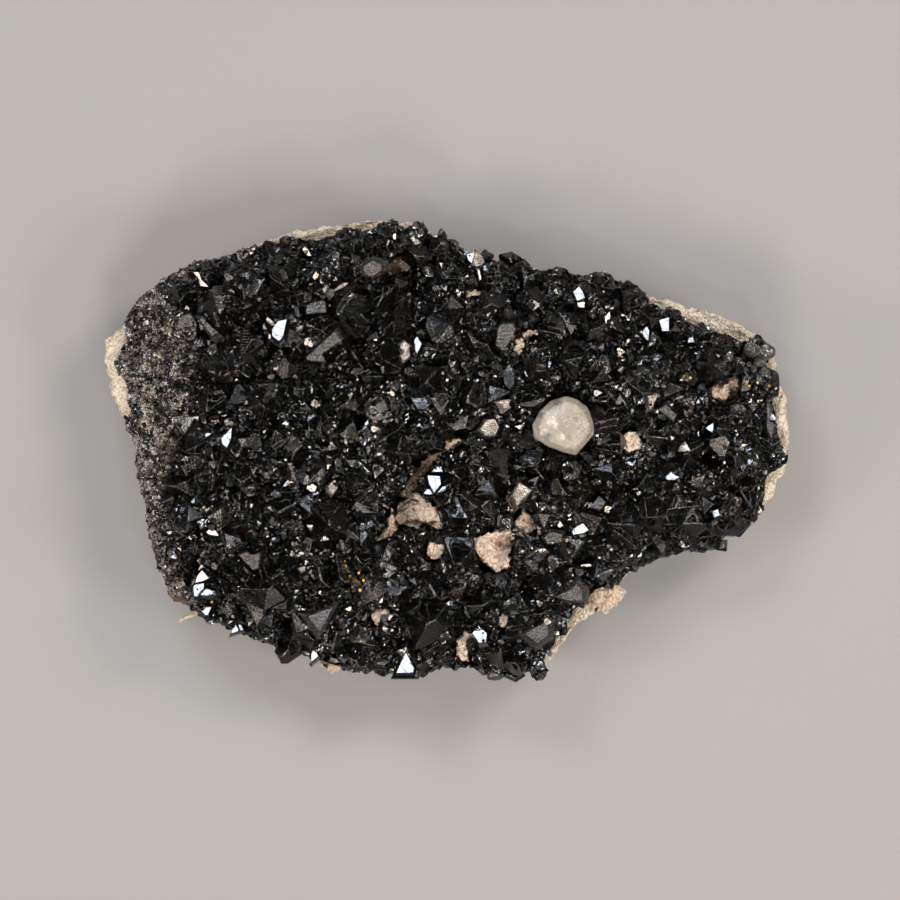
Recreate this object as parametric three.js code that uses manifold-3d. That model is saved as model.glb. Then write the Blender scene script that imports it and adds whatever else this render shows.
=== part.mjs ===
// A hand specimen of black sphalerite: a loose plate of pale rock, its top and most of its edge covered
// by a crust of glassy dark crystals grown together, with one rounded cream calcite crystal on the crust.
// The plate lies on its flat back with the crystals up. Units are millimetres, +Z is up, +X runs along
// the plate's length, and the origin is under the middle of the plate, on the surface that it lies on.
import * as THREE from "three";
import { ConvexGeometry } from "three/addons/geometries/ConvexGeometry.js";
import { mergeVertices } from "three/addons/utils/BufferGeometryUtils.js";
import Module from "manifold-3d";

const wasm = await Module();
wasm.setup();

// Driving dimensions
const BACK_RISE = 5; // how far the broken margin of the back lifts off the surface
const WAIST = 8; // height of the rock's widest level where the crust hides its side
const ROCK_TOP = 17.5; // the rock's own top, under the middle of the crust
const ROCK_DOME = 3; // how much lower that top lies at its edge
const CREST = 25; // mean height of the crust between its crystals
const WRAP = 7; // how far down the edge the crust reaches where it hides the rock
const WALL = 3; // thickness of the crust on the edge
const LIP = 2.6; // thickness of the crust where it ends at a bare band
const ROLL = 11; // width of the rounded margin inside the outline
const ROLL_DROP = 5.5; // how far the crust drops across that margin
const GAP = 0.3; // clearance between pieces that touch
const SPACING = 8.8; // between neighbouring crystals
const CRYSTAL = 3.2; // half the width of a middling crystal
const JITTER = 0.35; // how far crystals stray from their rows, as a share of the spacing
const FIELD = { left: -73, front: -50, length: 146, width: 100 }; // what the rows of crystals cover
const EDGE_LENGTH = 325; // round the plate
const CRUST_CORNERS = 30; // round the crust under its crystals
const ROCK_CORNERS = 40; // round the rock
const FINEST = 0.35; // crystal corners nearer than this are one corner

// The silhouette seen from above, anticlockwise: x, y, and how wide a band of bare rock shows at the edge.
// A negative band means that the crust overhangs the rock there.
const OUTLINE = [
  [68.9, 0, 0.8], [68.2, 7, 1.2], [66.4, 14, 1.5], [65.6, 19, 0], [62, 23.2, 0.6], [57, 26.6, 3.2],
  [50, 28.6, 3.4], [43, 29.8, 1.6], [39.6, 32, -1], [34, 34.6, -2], [26, 35.4, -2], [18, 36.8, -2],
  [10, 37.6, -2], [4, 40.2, -2], [-2, 43.6, -1.5], [-8, 46.3, 0.6], [-15, 46.6, 1.4], [-24, 45.2, 1.2],
  [-33, 43.4, 1.2], [-40, 41.2, 0.6], [-46, 38.8, -1.5], [-54, 37.2, -2], [-61, 34, -2], [-64.8, 29.2, -1.5],
  [-66, 24, -0.5], [-69, 20.6, 1.4], [-67.8, 13, 1.2], [-66.2, 6, 0.8], [-64, -1, -1.5], [-62.6, -9, -2],
  [-61, -15, -2], [-60.6, -21.5, -2], [-58.6, -26.4, -1], [-56, -31, 0.8], [-48.4, -34.6, -1], [-40, -38.4, -2],
  [-31, -40.2, -2], [-25, -43.8, -1], [-16, -45, -2], [-7, -45.4, -2], [1, -44, -2], [9, -44.6, -2],
  [18.6, -46.5, 0.4], [21.2, -41, 0.8], [24.4, -35.9, 0.8], [30, -32.8, 3.6], [34, -28.8, 1.6], [35.8, -25.4, 0.6],
  [40, -21.8, -2], [48, -20.8, -2], [56, -18.4, -2], [62, -14.8, -1], [65, -9, 0.8], [67.8, -4, 0.8],
];

// Broad rises and hollows of the crust: x, y, reach, height.
const SWELLS = [
  [-28, 24, 24, 3.4], [-36, -14, 26, 1.8], [-2, 8, 14, 2.2], [38, 10, 22, 2.6], [10, -30, 20, 1.6],
  [-62, 13, 14, -3.2], [2, 40, 12, -1.6], [52, -14, 14, -1.4],
];
// Two furrows that cross the crust from upper right to lower left: their course, depth and half width.
const FURROWS = [
  { course: [[2, 37], [-6, 32], [-14, 25], [-23, 15]], depth: 5, half: 4.2 },
  { course: [[4, 3], [-4, -3], [-9, -11], [-16, -18]], depth: 3.6, half: 4 },
];
// Where the rock comes up through the crust: x, y, half length, half width, turn in degrees.
const BARE_ROCK = [
  [-10.4, 37, 2.8, 1.6, 15], [-5.2, 34.4, 3.2, 1.5, 42], [5.2, 31, 1.8, 1.2, 20], [14.6, 21.6, 1.9, 1.4, 60],
  [-0.6, 1.4, 3.6, 1.1, 38], [-5.4, -13, 3, 2.4, 20], [-8.6, -12.6, 2.8, 3.4, 70], [-14, -17.2, 3, 1.3, 35],
  [8.8, -20.4, 3.9, 3.4, 25], [15.2, -14.4, 2.3, 1.9, 60], [11.4, -34, 1.9, 1.3, 20],
  [3, -39.4, 1, 3, -15], [36, 1.9, 2, 2, 0], [55, 12.4, 2.9, 2, 20],
];
// The pale sliver of rock that sticks out under the crust at the lower left: its two ends, height and width.
const SLIVER = { tip: [-54.2, -34.4], root: [-46.5, -30.6], height: 10.5, width: 1.3 };

// The crystals that stand out: x, y, width of the broad face, the direction in degrees that it leans in and
// how far, its turn, and how sharp its corners are, from 1 for a hexagon to 2.4 for a triangle.
const BROAD_FACES = [
  [-34, 24.4, 4.4, 115, 21, 20, 1.6], [-44.6, 2.4, 4, 112, 20, 75, 2.4], [-49, -27.4, 4.6, 118, 21, 95, 2.2],
  [-3, -5.6, 5.6, 114, 20, 65, 2.4], [8, 4.4, 3.6, 318, 17, 0, 1.1], [14.4, -8.6, 4.4, 322, 18, 50, 1.2],
  [26.2, -15.8, 3.6, 112, 20, 5, 1.7], [26, 30.8, 4, 116, 21, 80, 1.5], [44, 24.4, 4, 114, 20, 40, 1.4],
  [44.4, -5.2, 3.8, 116, 20, 60, 1.8], [-9, -42, 4, 114, 20, 92, 2.4], [-56, -21.8, 4.2, 110, 19, 70, 1.3],
  [11, 22.6, 5, 95, 9, 105, 1.3], [-40, -22.2, 4.6, 300, 8, 270, 2.4], [-26, -33.8, 4.8, 290, 8, 272, 2.4],
  [-47, 27, 5.4, 80, 9, 30, 1.4], [-26, 22, 6.2, 90, 12, 15, 1.2], [2, -23, 5.8, 300, 10, 30, 1.5],
  [36, -14, 5, 100, 8, 40, 1.3], [-13, 8, 5.6, 120, 12, 10, 1.3], [40, 15.6, 5.6, 80, 11, 50, 1.4],
  [58, -2, 5.2, 60, 12, 80, 1.5],
];

// The calcite: where it stands, how far its middle is above the crust, and its faces, each as the direction
// that it leans in, how far it leans and its distance from the middle.
const CALCITE = { x: 22.7, y: 5.2, proud: 1.6, room: 6.4 };
const CALCITE_FACES = [
  [75, 32, 4.2], [195, 34, 4.3], [318, 36, 4.5], [20, 62, 5.2], [130, 64, 5], [255, 64, 5], [350, 80, 5.6],
  [48, 78, 5.3], [98, 82, 5.2], [160, 84, 5.4], [215, 80, 5.2], [285, 82, 5.3], [20, 125, 5], [140, 125, 5],
  [260, 125, 5], [0, 180, 4.6],
];

const turnOf = (degrees) => THREE.MathUtils.degToRad(degrees);

// Random numbers from 0 to 1 that are the same on every run.
function drawFrom(seed) {
  let state = seed;
  return () => {
    state = (state + 0x6d2b79f5) | 0;
    let mixed = Math.imul(state ^ (state >>> 15), 1 | state);
    mixed = (mixed + Math.imul(mixed ^ (mixed >>> 7), 61 | mixed)) ^ mixed;
    return ((mixed ^ (mixed >>> 14)) >>> 0) / 4294967296;
  };
}

// The shape of the ground

const outlineAngles = OUTLINE.map(([x, y]) => Math.atan2(y, x));
const outlineRadii = OUTLINE.map(([x, y]) => Math.hypot(x, y));

// The outline's distance from the middle and its band of bare rock, in the direction of (x, y).
function edgeTowards(x, y) {
  const angle = Math.atan2(y, x);
  for (let i = 0; i < OUTLINE.length; i++) {
    const next = (i + 1) % OUTLINE.length;
    const span = (outlineAngles[next] - outlineAngles[i] + 2 * Math.PI) % (2 * Math.PI);
    const along = (angle - outlineAngles[i] + 2 * Math.PI) % (2 * Math.PI);
    if (along > span) continue;
    return {
      reach: THREE.MathUtils.lerp(outlineRadii[i], outlineRadii[next], along / span),
      band: THREE.MathUtils.lerp(OUTLINE[i][2], OUTLINE[next][2], along / span),
    };
  }
  throw new Error("the outline doesn't go all the way round");
}

function distanceToCourse(x, y, course) {
  const here = new THREE.Vector3(x, y, 0);
  const nearest = new THREE.Vector3();
  let least = Infinity;
  for (let i = 0; i + 1 < course.length; i++) {
    const stretch = new THREE.Line3(new THREE.Vector3(...course[i], 0), new THREE.Vector3(...course[i + 1], 0));
    least = Math.min(least, stretch.closestPointToPoint(here, true, nearest).distanceTo(here));
  }
  return least;
}

// The height of the crust between its crystals.
function crustHeight(x, y) {
  let height = CREST;
  for (const [sx, sy, reach, rise] of SWELLS) {
    height += rise * Math.exp(-((x - sx) ** 2 + (y - sy) ** 2) / reach ** 2);
  }
  for (const { course, depth, half } of FURROWS) {
    height -= depth * Math.exp(-((distanceToCourse(x, y, course) / half) ** 2));
  }
  const room = Math.max(0, edgeTowards(x, y).reach - Math.hypot(x, y));
  const inward = Math.min(1, room / ROLL);
  return height - ROLL_DROP * (1 - Math.sqrt(1 - (1 - inward) ** 2));
}

// Solids

function solidOf(geometry) {
  const bare = geometry.clone();
  bare.deleteAttribute("normal");
  bare.deleteAttribute("uv");
  const merged = mergeVertices(bare, 1e-4);
  const vertProperties = merged.attributes.position.array;
  const triVerts = new Uint32Array(merged.index.array);
  return new wasm.Manifold(new wasm.Mesh({ numProp: 3, vertProperties, triVerts }));
}

function meshOf(solid, name, material) {
  const { vertProperties, triVerts } = solid.getMesh();
  const shared = new THREE.BufferGeometry();
  shared.setAttribute("position", new THREE.BufferAttribute(vertProperties, 3));
  shared.setIndex(new THREE.BufferAttribute(triVerts, 1));
  const geometry = shared.toNonIndexed();
  geometry.computeVertexNormals();
  const mesh = new THREE.Mesh(geometry, material);
  mesh.name = name;
  return mesh;
}

// A closed shell of rings about an upright axis, from the middle of its underside outwards and up to the
// middle of its top. Each station has its number of corners and a function that gives the corner in a
// direction, and the first and last stations are single points.
function ringShell(stations) {
  const rings = stations.map(([count, station], level) => (
    Array.from({ length: count }, (_, corner) => {
      const angle = ((corner + (level % 2) / 2) / count) * 2 * Math.PI;
      return station(Math.cos(angle), Math.sin(angle));
    })
  ));
  const positions = [];
  for (let level = 0; level + 1 < rings.length; level++) {
    const [low, high] = [rings[level], rings[level + 1]];
    const [lowShift, highShift] = [(level % 2) / 2, ((level + 1) % 2) / 2];
    let [i, j] = [0, 0];
    while (i < low.length || j < high.length) {
      const lowNext = i < low.length ? (i + 1 + lowShift) / low.length : Infinity;
      const highNext = j < high.length ? (j + 1 + highShift) / high.length : Infinity;
      const [here, above] = [low[i % low.length], high[j % high.length]];
      if (lowNext < highNext) {
        if (low.length > 1) positions.push(...here, ...low[(i + 1) % low.length], ...above);
        i++;
      } else {
        if (high.length > 1) positions.push(...here, ...high[(j + 1) % high.length], ...above);
        j++;
      }
    }
  }
  const geometry = new THREE.BufferGeometry();
  geometry.setAttribute("position", new THREE.Float32BufferAttribute(positions, 3));
  return solidOf(geometry);
}

// The convex solid that lies behind all of some planes.
function solidBehind(planes) {
  const corners = [];
  const meet = new THREE.Matrix3();
  for (let i = 0; i < planes.length; i++) {
    for (let j = i + 1; j < planes.length; j++) {
      for (let k = j + 1; k < planes.length; k++) {
        const [a, b, c] = [planes[i], planes[j], planes[k]];
        meet.set(...a.normal.toArray(), ...b.normal.toArray(), ...c.normal.toArray());
        if (Math.abs(meet.determinant()) < 0.05) continue;
        const corner = new THREE.Vector3(-a.constant, -b.constant, -c.constant).applyMatrix3(meet.invert());
        const inside = planes.every((plane) => plane.distanceToPoint(corner) < 1e-6);
        if (inside && corners.every((other) => other.distanceTo(corner) > FINEST)) corners.push(corner);
      }
    }
  }
  return solidOf(new ConvexGeometry(corners));
}

const planeAt = (normal, distance) => new THREE.Plane(normal.clone(), -distance);

const leaning = (azimuth, lean) => new THREE.Vector3(
  Math.sin(turnOf(lean)) * Math.cos(turnOf(azimuth)),
  Math.sin(turnOf(lean)) * Math.sin(turnOf(azimuth)),
  Math.cos(turnOf(lean)),
);

// Sphalerite crystals

// The angle between a tetrahedron's face and the faces beside it, seen from its middle.
const FACE_ANGLE = THREE.MathUtils.radToDeg(Math.acos(1 / 3));

// A crystal on a point of the crust, about an axis that leans. It has a top, three faces that slope out below
// the top and three that slope in, as a tetrahedron with blunted corners has, and a base in the crust. The
// sloping faces are given as shares of half its width, and those that the crust hides are left off.
function crystal({ x, y, z, azimuth, lean, spin, half, top, upper, lower }, draw) {
  const turn = new THREE.Quaternion().setFromUnitVectors(new THREE.Vector3(0, 0, 1), leaning(azimuth, lean));
  const planes = [planeAt(leaning(azimuth, lean), half * top), planeAt(leaning(azimuth, lean).negate(), half)];
  for (let third = 0; third < 3; third++) {
    const outward = leaning(spin + 120 * third, FACE_ANGLE).applyQuaternion(turn);
    const inward = leaning(spin + 60 + 120 * third, 180 - FACE_ANGLE).applyQuaternion(turn);
    const [near, far] = [half * upper * (0.85 + 0.3 * draw()), half * lower * (0.9 + 0.2 * draw())];
    planes.push(planeAt(outward, near));
    if (inward.z > -0.15 || lower < 1) planes.push(planeAt(inward, far));
  }
  return solidBehind(planes.map((plane) => plane.translate(new THREE.Vector3(x, y, z))));
}

// The two habits: a corner up, more or less blunted, or a broad face up.
function habit(draw) {
  const cornerUp = draw() < 0.6;
  return cornerUp
    ? { top: 0.45 + 0.9 * draw(), upper: 0.74, lower: 1.3 }
    : { top: 0.55 + 0.2 * draw(), upper: 1 + 0.5 * draw(), lower: 0.8 };
}

function broadFaced([x, y, across, azimuth, lean, spin, sharp], draw) {
  const half = across * 0.66;
  const z = crustHeight(x, y) + half * 0.4;
  return crystal({ x, y, z, azimuth, lean, spin, half, top: 0.5, upper: 0.8 * sharp, lower: 0.8 }, draw);
}

// How far (x, y) is from the nearest thing that crystals leave clear: below 1 is too near.
function clearance(x, y) {
  let least = Math.hypot(x - CALCITE.x, y - CALCITE.y) / CALCITE.room;
  for (const [bx, by, long, wide, turn] of BARE_ROCK) {
    const place = new THREE.Vector2(x - bx, y - by).rotateAround(new THREE.Vector2(), -turnOf(turn));
    least = Math.min(least, Math.hypot(place.x / (long + 1.8), place.y / (wide + 1.8)));
  }
  for (const [bx, by, across] of BROAD_FACES) {
    least = Math.min(least, Math.hypot(x - bx, y - by) / (across / 2 + CRYSTAL));
  }
  return least;
}

// The crystals between, in rows that are set half a step apart.
function scattered() {
  const draw = drawFrom(7);
  const found = [];
  const rowStep = SPACING * Math.sqrt(0.75);
  for (let row = 0; row * rowStep < FIELD.width; row++) {
    for (let column = 0; column * SPACING < FIELD.length; column++) {
      const x = FIELD.left + (column + (row % 2) / 2 + JITTER * (draw() - 0.5)) * SPACING;
      const y = FIELD.front + (row + JITTER * (draw() - 0.5)) * rowStep;
      const half = CRYSTAL * (0.8 + 0.5 * draw() ** 2);
      const stance = { azimuth: 360 * draw(), lean: 48 * Math.sqrt(draw()), spin: 360 * draw(), ...habit(draw) };
      const { reach, band } = edgeTowards(x, y);
      const room = reach - Math.max(0, band) - Math.hypot(x, y);
      if (room < half * 1.7 || clearance(x, y) < 1) continue;
      found.push(crystal({ x, y, z: crustHeight(x, y), half, ...stance }, draw));
    }
  }
  return found;
}

// The crystals on the edge, where the crust wraps over it or ends at a bare band.
function alongTheEdge() {
  const draw = drawFrom(23);
  const found = [];
  const steps = Math.round(EDGE_LENGTH / SPACING);
  for (let step = 0; step < steps; step++) {
    const angle = ((step + JITTER * (draw() - 0.5)) / steps) * 2 * Math.PI;
    const [dx, dy] = [Math.cos(angle), Math.sin(angle)];
    const { reach, band } = edgeTowards(dx, dy);
    const half = CRYSTAL * (0.75 + 0.3 * draw()) * (band > 0 ? 0.75 : 1);
    const radius = reach - Math.max(0, band) - half * (band > 0 ? 1 : 1.2);
    const [x, y] = [dx * radius, dy * radius];
    const z = crustHeight(x, y) - (band > 0 ? 0.5 : 1.5 + 3 * draw());
    const azimuth = THREE.MathUtils.radToDeg(angle) + 50 * (draw() - 0.5);
    const stance = { azimuth, lean: (band > 0 ? 10 : 35) + 40 * draw(), spin: 360 * draw(), ...habit(draw) };
    found.push(crystal({ x, y, z, half, ...stance }, draw));
  }
  return found;
}

// The crust under its crystals

// How far the crust's foot wanders up and down along the edge.
const wander = (dx, dy) => 0.9 * Math.sin(5 * Math.atan2(dy, dx) + 1) + 0.6 * Math.sin(13 * Math.atan2(dy, dx));

function crustShell() {
  const draw = drawFrom(61);
  const at = (share, drop) => (dx, dy) => {
    const { reach, band } = edgeTowards(dx, dy);
    const radius = (reach - Math.max(0, band) - 0.8) * share;
    const [x, y] = [dx * radius, dy * radius];
    return [x, y, crustHeight(x, y) - drop - draw()];
  };
  // Beside a bare band the crust ends at its lip; elsewhere it hangs down over the rock's edge.
  const foot = (dx, dy) => {
    const { reach, band } = edgeTowards(dx, dy);
    const radius = reach - Math.max(0, band) - 1.2;
    const [x, y] = [dx * radius, dy * radius];
    return [x, y, crustHeight(x, y) - (band > 0 ? LIP : WRAP + wander(dx, dy))];
  };
  const core = (height) => () => [0, 0, height];
  return ringShell([
    [1, core(WAIST)], [CRUST_CORNERS, foot], [CRUST_CORNERS, at(1, 1)], [CRUST_CORNERS, at(0.87, 1)],
    [CRUST_CORNERS * 0.8, at(0.7, 1)], [CRUST_CORNERS * 0.6, at(0.51, 1)], [CRUST_CORNERS * 0.4, at(0.32, 1)],
    [CRUST_CORNERS * 0.2, at(0.14, 1)], [1, core(crustHeight(0, 0) - 1)],
  ]);
}

// The rock plate

// How far the broken side steps in and out at a level.
function ledge(dx, dy, level) {
  const angle = Math.atan2(dy, dx);
  return 0.7 * Math.sin(9 * angle + 2.3 * level) + 0.5 * Math.sin(23 * angle - 1.7 * level);
}

function rockShell(grow) {
  const draw = drawFrom(41);
  const flat = (share) => (dx, dy) => {
    const radius = edgeTowards(dx, dy).reach * share + grow;
    return [dx * radius, dy * radius, 0];
  };
  // The side, set in by one amount where a bare band shows and by another where the crust covers it.
  const side = (height, insetBare, insetCovered, rough) => (dx, dy) => {
    const { reach, band } = edgeTowards(dx, dy);
    const covered = THREE.MathUtils.smoothstep(-band, 0, 1);
    const inset = THREE.MathUtils.lerp(insetBare, insetCovered, covered);
    const radius = reach - inset + grow + rough * ledge(dx, dy, height);
    return [dx * radius, dy * radius, height + 1.6 * rough * (draw() - 0.5)];
  };
  // Where a bare band shows, the side goes on up to it; elsewhere it steps in under the crust.
  const underLip = (dx, dy) => {
    const { reach, band } = edgeTowards(dx, dy);
    const radius = reach - (band > 0 ? 0.4 : WALL);
    const height = band > 0 ? crustHeight(dx * radius, dy * radius) - LIP * 0.7 : ROCK_TOP - 3;
    return [dx * (radius + grow), dy * (radius + grow), height - 0.8 * draw() + grow];
  };
  const shoulder = (dx, dy) => {
    const { reach, band } = edgeTowards(dx, dy);
    const radius = reach - Math.abs(band) - WALL;
    const height = Math.min(ROCK_TOP, crustHeight(dx * radius, dy * radius) - LIP);
    return [dx * (radius + grow), dy * (radius + grow), height + grow];
  };
  const top = (share) => (dx, dy) => {
    const radius = (edgeTowards(dx, dy).reach - WALL * 2) * share;
    return [dx * radius, dy * radius, ROCK_TOP - ROCK_DOME * share ** 2 + grow];
  };
  return ringShell([
    [1, () => [0, 0, 0]], [ROCK_CORNERS * 0.6, flat(0.64)], [ROCK_CORNERS * 0.8, side(1.4, 12, 12, 1)],
    [ROCK_CORNERS, side(BACK_RISE, 5, 6, 1)], [ROCK_CORNERS, side(WAIST, 1.4, 2, 1)],
    [ROCK_CORNERS, side(WAIST + 3, 1, WALL, 0.2)], [ROCK_CORNERS, underLip], [ROCK_CORNERS, shoulder],
    [ROCK_CORNERS * 0.4, top(0.6)], [1, () => [0, 0, ROCK_TOP + grow]],
  ]);
}

// A knob of rock that comes up through the crust.
function knob([x, y, long, wide, turn], grow) {
  const draw = drawFrom(Math.round(1000 + x * 10 + y));
  const crown = crustHeight(x, y);
  const ring = (share, height) => (dx, dy) => {
    const radius = share * (0.82 + 0.36 * draw());
    const place = new THREE.Vector2(dx * (long * radius + grow), dy * (wide * radius + grow));
    place.rotateAround(new THREE.Vector2(), turnOf(turn));
    return [x + place.x, y + place.y, height];
  };
  const corners = long > 2.5 ? 7 : 5;
  return ringShell([
    [1, () => [x, y, ROCK_TOP - 4]], [corners, ring(1.2, ROCK_TOP - 3)], [corners, ring(0.9, crown - 0.6 + grow)],
    [1, () => [x, y, crown + 0.4 + grow]],
  ]);
}

function sliver(grow) {
  const { tip, root, height, width } = SLIVER;
  const length = Math.hypot(root[0] - tip[0], root[1] - tip[1]) + grow;
  const shape = new THREE.CylinderGeometry(width * 0.3 + grow, width * 0.5 + grow, length, 5);
  shape.rotateZ(Math.PI / 2);
  shape.rotateZ(Math.atan2(root[1] - tip[1], root[0] - tip[0]));
  shape.translate((tip[0] + root[0]) / 2, (tip[1] + root[1]) / 2, height);
  return solidOf(shape);
}

// The calcite

function calciteSolid(grow) {
  const middle = new THREE.Vector3(CALCITE.x, CALCITE.y, crustHeight(CALCITE.x, CALCITE.y) + CALCITE.proud);
  const planes = CALCITE_FACES.map(([azimuth, lean, distance]) => planeAt(leaning(azimuth, lean), distance + grow));
  return solidBehind(planes.map((plane) => plane.translate(middle)));
}

// Putting it together

const union = (solids) => wasm.Manifold.union(solids);
const rock = (grow) => union([rockShell(grow), ...BARE_ROCK.map((place) => knob(place, grow)), sliver(grow)]);
const broadDraw = drawFrom(5);
const crystals = [...BROAD_FACES.map((face) => broadFaced(face, broadDraw)), ...scattered(), ...alongTheEdge()];
const wholeCrust = union([crustShell(), ...crystals]).subtract(union([rock(GAP), calciteSolid(GAP)]));
// Cutting the rock out frees a few crumbs, which are left off.
const crust = wholeCrust.decompose().sort((one, other) => other.volume() - one.volume())[0];

const finish = (color, roughness) => (
  new THREE.MeshStandardMaterial({ color, roughness, metalness: 0, flatShading: true })
);

const specimen = new THREE.Group();
specimen.add(meshOf(rock(0), "matrix", finish(0xc9b39a, 0.9)));
specimen.add(meshOf(crust, "sphalerite_crust", finish(0x1b1917, 0.2)));
specimen.add(meshOf(calciteSolid(0), "calcite_crystal", finish(0xd6cfc0, 0.35)));
const bounds = new THREE.Box3().setFromObject(specimen);
const middle = bounds.getCenter(new THREE.Vector3());
specimen.position.set(-middle.x, -middle.y, -bounds.min.z);

export default specimen;
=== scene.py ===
"""A hand specimen of black sphalerite crystals on pale rock, with one calcite crystal."""

import math

import bmesh
import bpy
import numpy as np
from bpy.props import FloatProperty, FloatVectorProperty, PointerProperty
from mathutils import Matrix, Vector, noise
from mathutils.bvhtree import BVHTree


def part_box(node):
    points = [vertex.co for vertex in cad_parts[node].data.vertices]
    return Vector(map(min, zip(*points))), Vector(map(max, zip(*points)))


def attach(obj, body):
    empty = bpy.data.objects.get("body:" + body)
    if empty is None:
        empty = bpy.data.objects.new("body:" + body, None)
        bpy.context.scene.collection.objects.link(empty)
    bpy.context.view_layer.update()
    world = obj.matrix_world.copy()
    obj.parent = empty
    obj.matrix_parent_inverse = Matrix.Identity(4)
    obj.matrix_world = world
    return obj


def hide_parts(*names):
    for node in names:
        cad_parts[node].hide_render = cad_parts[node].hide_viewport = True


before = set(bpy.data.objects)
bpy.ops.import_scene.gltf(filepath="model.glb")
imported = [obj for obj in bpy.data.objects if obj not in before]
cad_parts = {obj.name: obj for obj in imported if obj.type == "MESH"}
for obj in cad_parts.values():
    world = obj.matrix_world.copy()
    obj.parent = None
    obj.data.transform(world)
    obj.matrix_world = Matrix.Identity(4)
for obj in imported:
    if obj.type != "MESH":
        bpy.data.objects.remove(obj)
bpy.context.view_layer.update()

bl_info = {
    "name": "Sphalerite specimen",
    "version": (1, 0, 0),
    "blender": (4, 5, 0),
    "location": "View3D > Sidebar > Specimen",
    "description": "Builds the crystals, rock and calcite of a sphalerite specimen, and its stage",
    "category": "Object",
}

MM = 0.001
SEED = 11
WELD = 1e-5

# The specimen seen from straight above: places in the tables are in units of SEEN, counted to
# the right and downwards, and CENTRE is at SEEN_MIDDLE both ways.
SEEN = 0.2 * MM
SEEN_MIDDLE = 450.0
CENTRE = Vector((-0.27 * MM, 0.06 * MM, 0.0))
EYE_HEIGHT = 1.2
EYE = Vector((CENTRE.x, CENTRE.y, EYE_HEIGHT))
SHARP_HEIGHT = 21 * MM
PICTURE_WIDTH = 900 * SEEN
FLOOR_HALF = 4.0

# Directions of the faces of a sphalerite crystal.
SIGNS = [(a, b) for a in (-1, 1) for b in (-1, 1)]
TETRAHEDRON = [(1, 1, 1), (1, -1, -1), (-1, 1, -1), (-1, -1, 1)]
COUNTER_TETRAHEDRON = [(-a, -b, -c) for a, b, c in TETRAHEDRON]
DODECAHEDRON = [(a, b, 0) for a, b in SIGNS]
DODECAHEDRON += [(a, 0, b) for a, b in SIGNS]
DODECAHEDRON += [(0, a, b) for a, b in SIGNS]
CUBE = [(1, 0, 0), (-1, 0, 0), (0, 1, 0), (0, -1, 0), (0, 0, 1), (0, 0, -1)]
FORMS = [TETRAHEDRON, COUNTER_TETRAHEDRON, DODECAHEDRON, CUBE]

# Shares of a crystal's radius at which the faces of each form lie.
HABITS = [(0.46, 0.66, 0.98, 0.86), (0.52, 0.60, 0.90, 0.95), (0.58, 0.80, 0.74, 0.98),
          (0.50, 0.54, 0.95, 0.70)]

# How far the faces of a crystal of radius 1 lean and shift at random, and the smallest edge left.
FACE_TILT = 0.07
FACE_SHIFT = (0.86, 1.14)
SHORTEST_EDGE = 0.05

# The raised steps on its broadest faces: width as a share of the face, and height. A twin in it:
# its turns in degrees and their spread, its size, and how far it is shifted.
STEP_WIDTH, STEP_HEIGHT = (0.05, 0.16), 0.03
TWIN_TURNS, TWIN_SPREAD = [12.0, 60.0], 4
TWIN_SIZES, TWIN_SHIFT = (0.72, 0.92), 0.26

# Bright lamps: direction they stand in, degrees round from the right and up from the floor,
# distance and side in metres, brightness of their face, colour.
LAMPS = {
    "cool": (118, 54, 0.95, 0.20, 8.8, (0.79, 0.86, 1.0)),
    "warm": (38, 52, 0.95, 0.20, 12.5, (1.0, 0.82, 0.66)),
    "left": (196, 42, 0.95, 0.20, 9.0, (1.0, 0.86, 0.72)),
    "right": (338, 44, 0.95, 0.20, 9.0, (1.0, 0.96, 0.92)),
    "front": (268, 50, 0.95, 0.20, 9.0, (1.0, 0.90, 0.80)),
}
BRIGHT_LAMPS = tuple(LAMPS)
LAMP_REACH = math.cos(math.radians(11))

# Dim squares behind each bright lamp: distance and side, then brightness and colour for each.
DIM_SQUARES = {
    "ring": (1.0, 0.40, [(1.9, (0.74, 0.84, 1.0)), (1.7, (1.0, 0.87, 0.75)), (1.7, (1.0, 0.88, 0.76)),
                         (1.7, (1.0, 0.97, 0.94)), (1.7, (1.0, 0.93, 0.85))]),
    "halo": (1.05, 0.70, [(0.25, (0.88, 0.94, 1.0)), (0.25, (1.0, 0.90, 0.80)), (0.25, (1.0, 0.92, 0.84)),
                          (0.25, (1.0, 0.98, 0.96)), (0.25, (1.0, 0.95, 0.90))]),
}
LAMPS.update({f"{name}_{kind}": (*LAMPS[name][:2], distance, side, *light)
              for kind, (distance, side, lights) in DIM_SQUARES.items()
              for name, light in zip(BRIGHT_LAMPS, lights)})
LAMPS.update({
    "spark": (300, 66, 1.0, 0.05, 70.0, (0.96, 0.97, 1.0)),
    "ember": (160, 68, 1.0, 0.05, 60.0, (1.0, 0.76, 0.52)),
    "grey": (236, 70, 1.5, 0.45, 0.8, (1.0, 0.97, 0.93)),
    "haze": (78, 68, 1.5, 0.45, 0.4, (0.94, 0.97, 1.0)),
})

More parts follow.
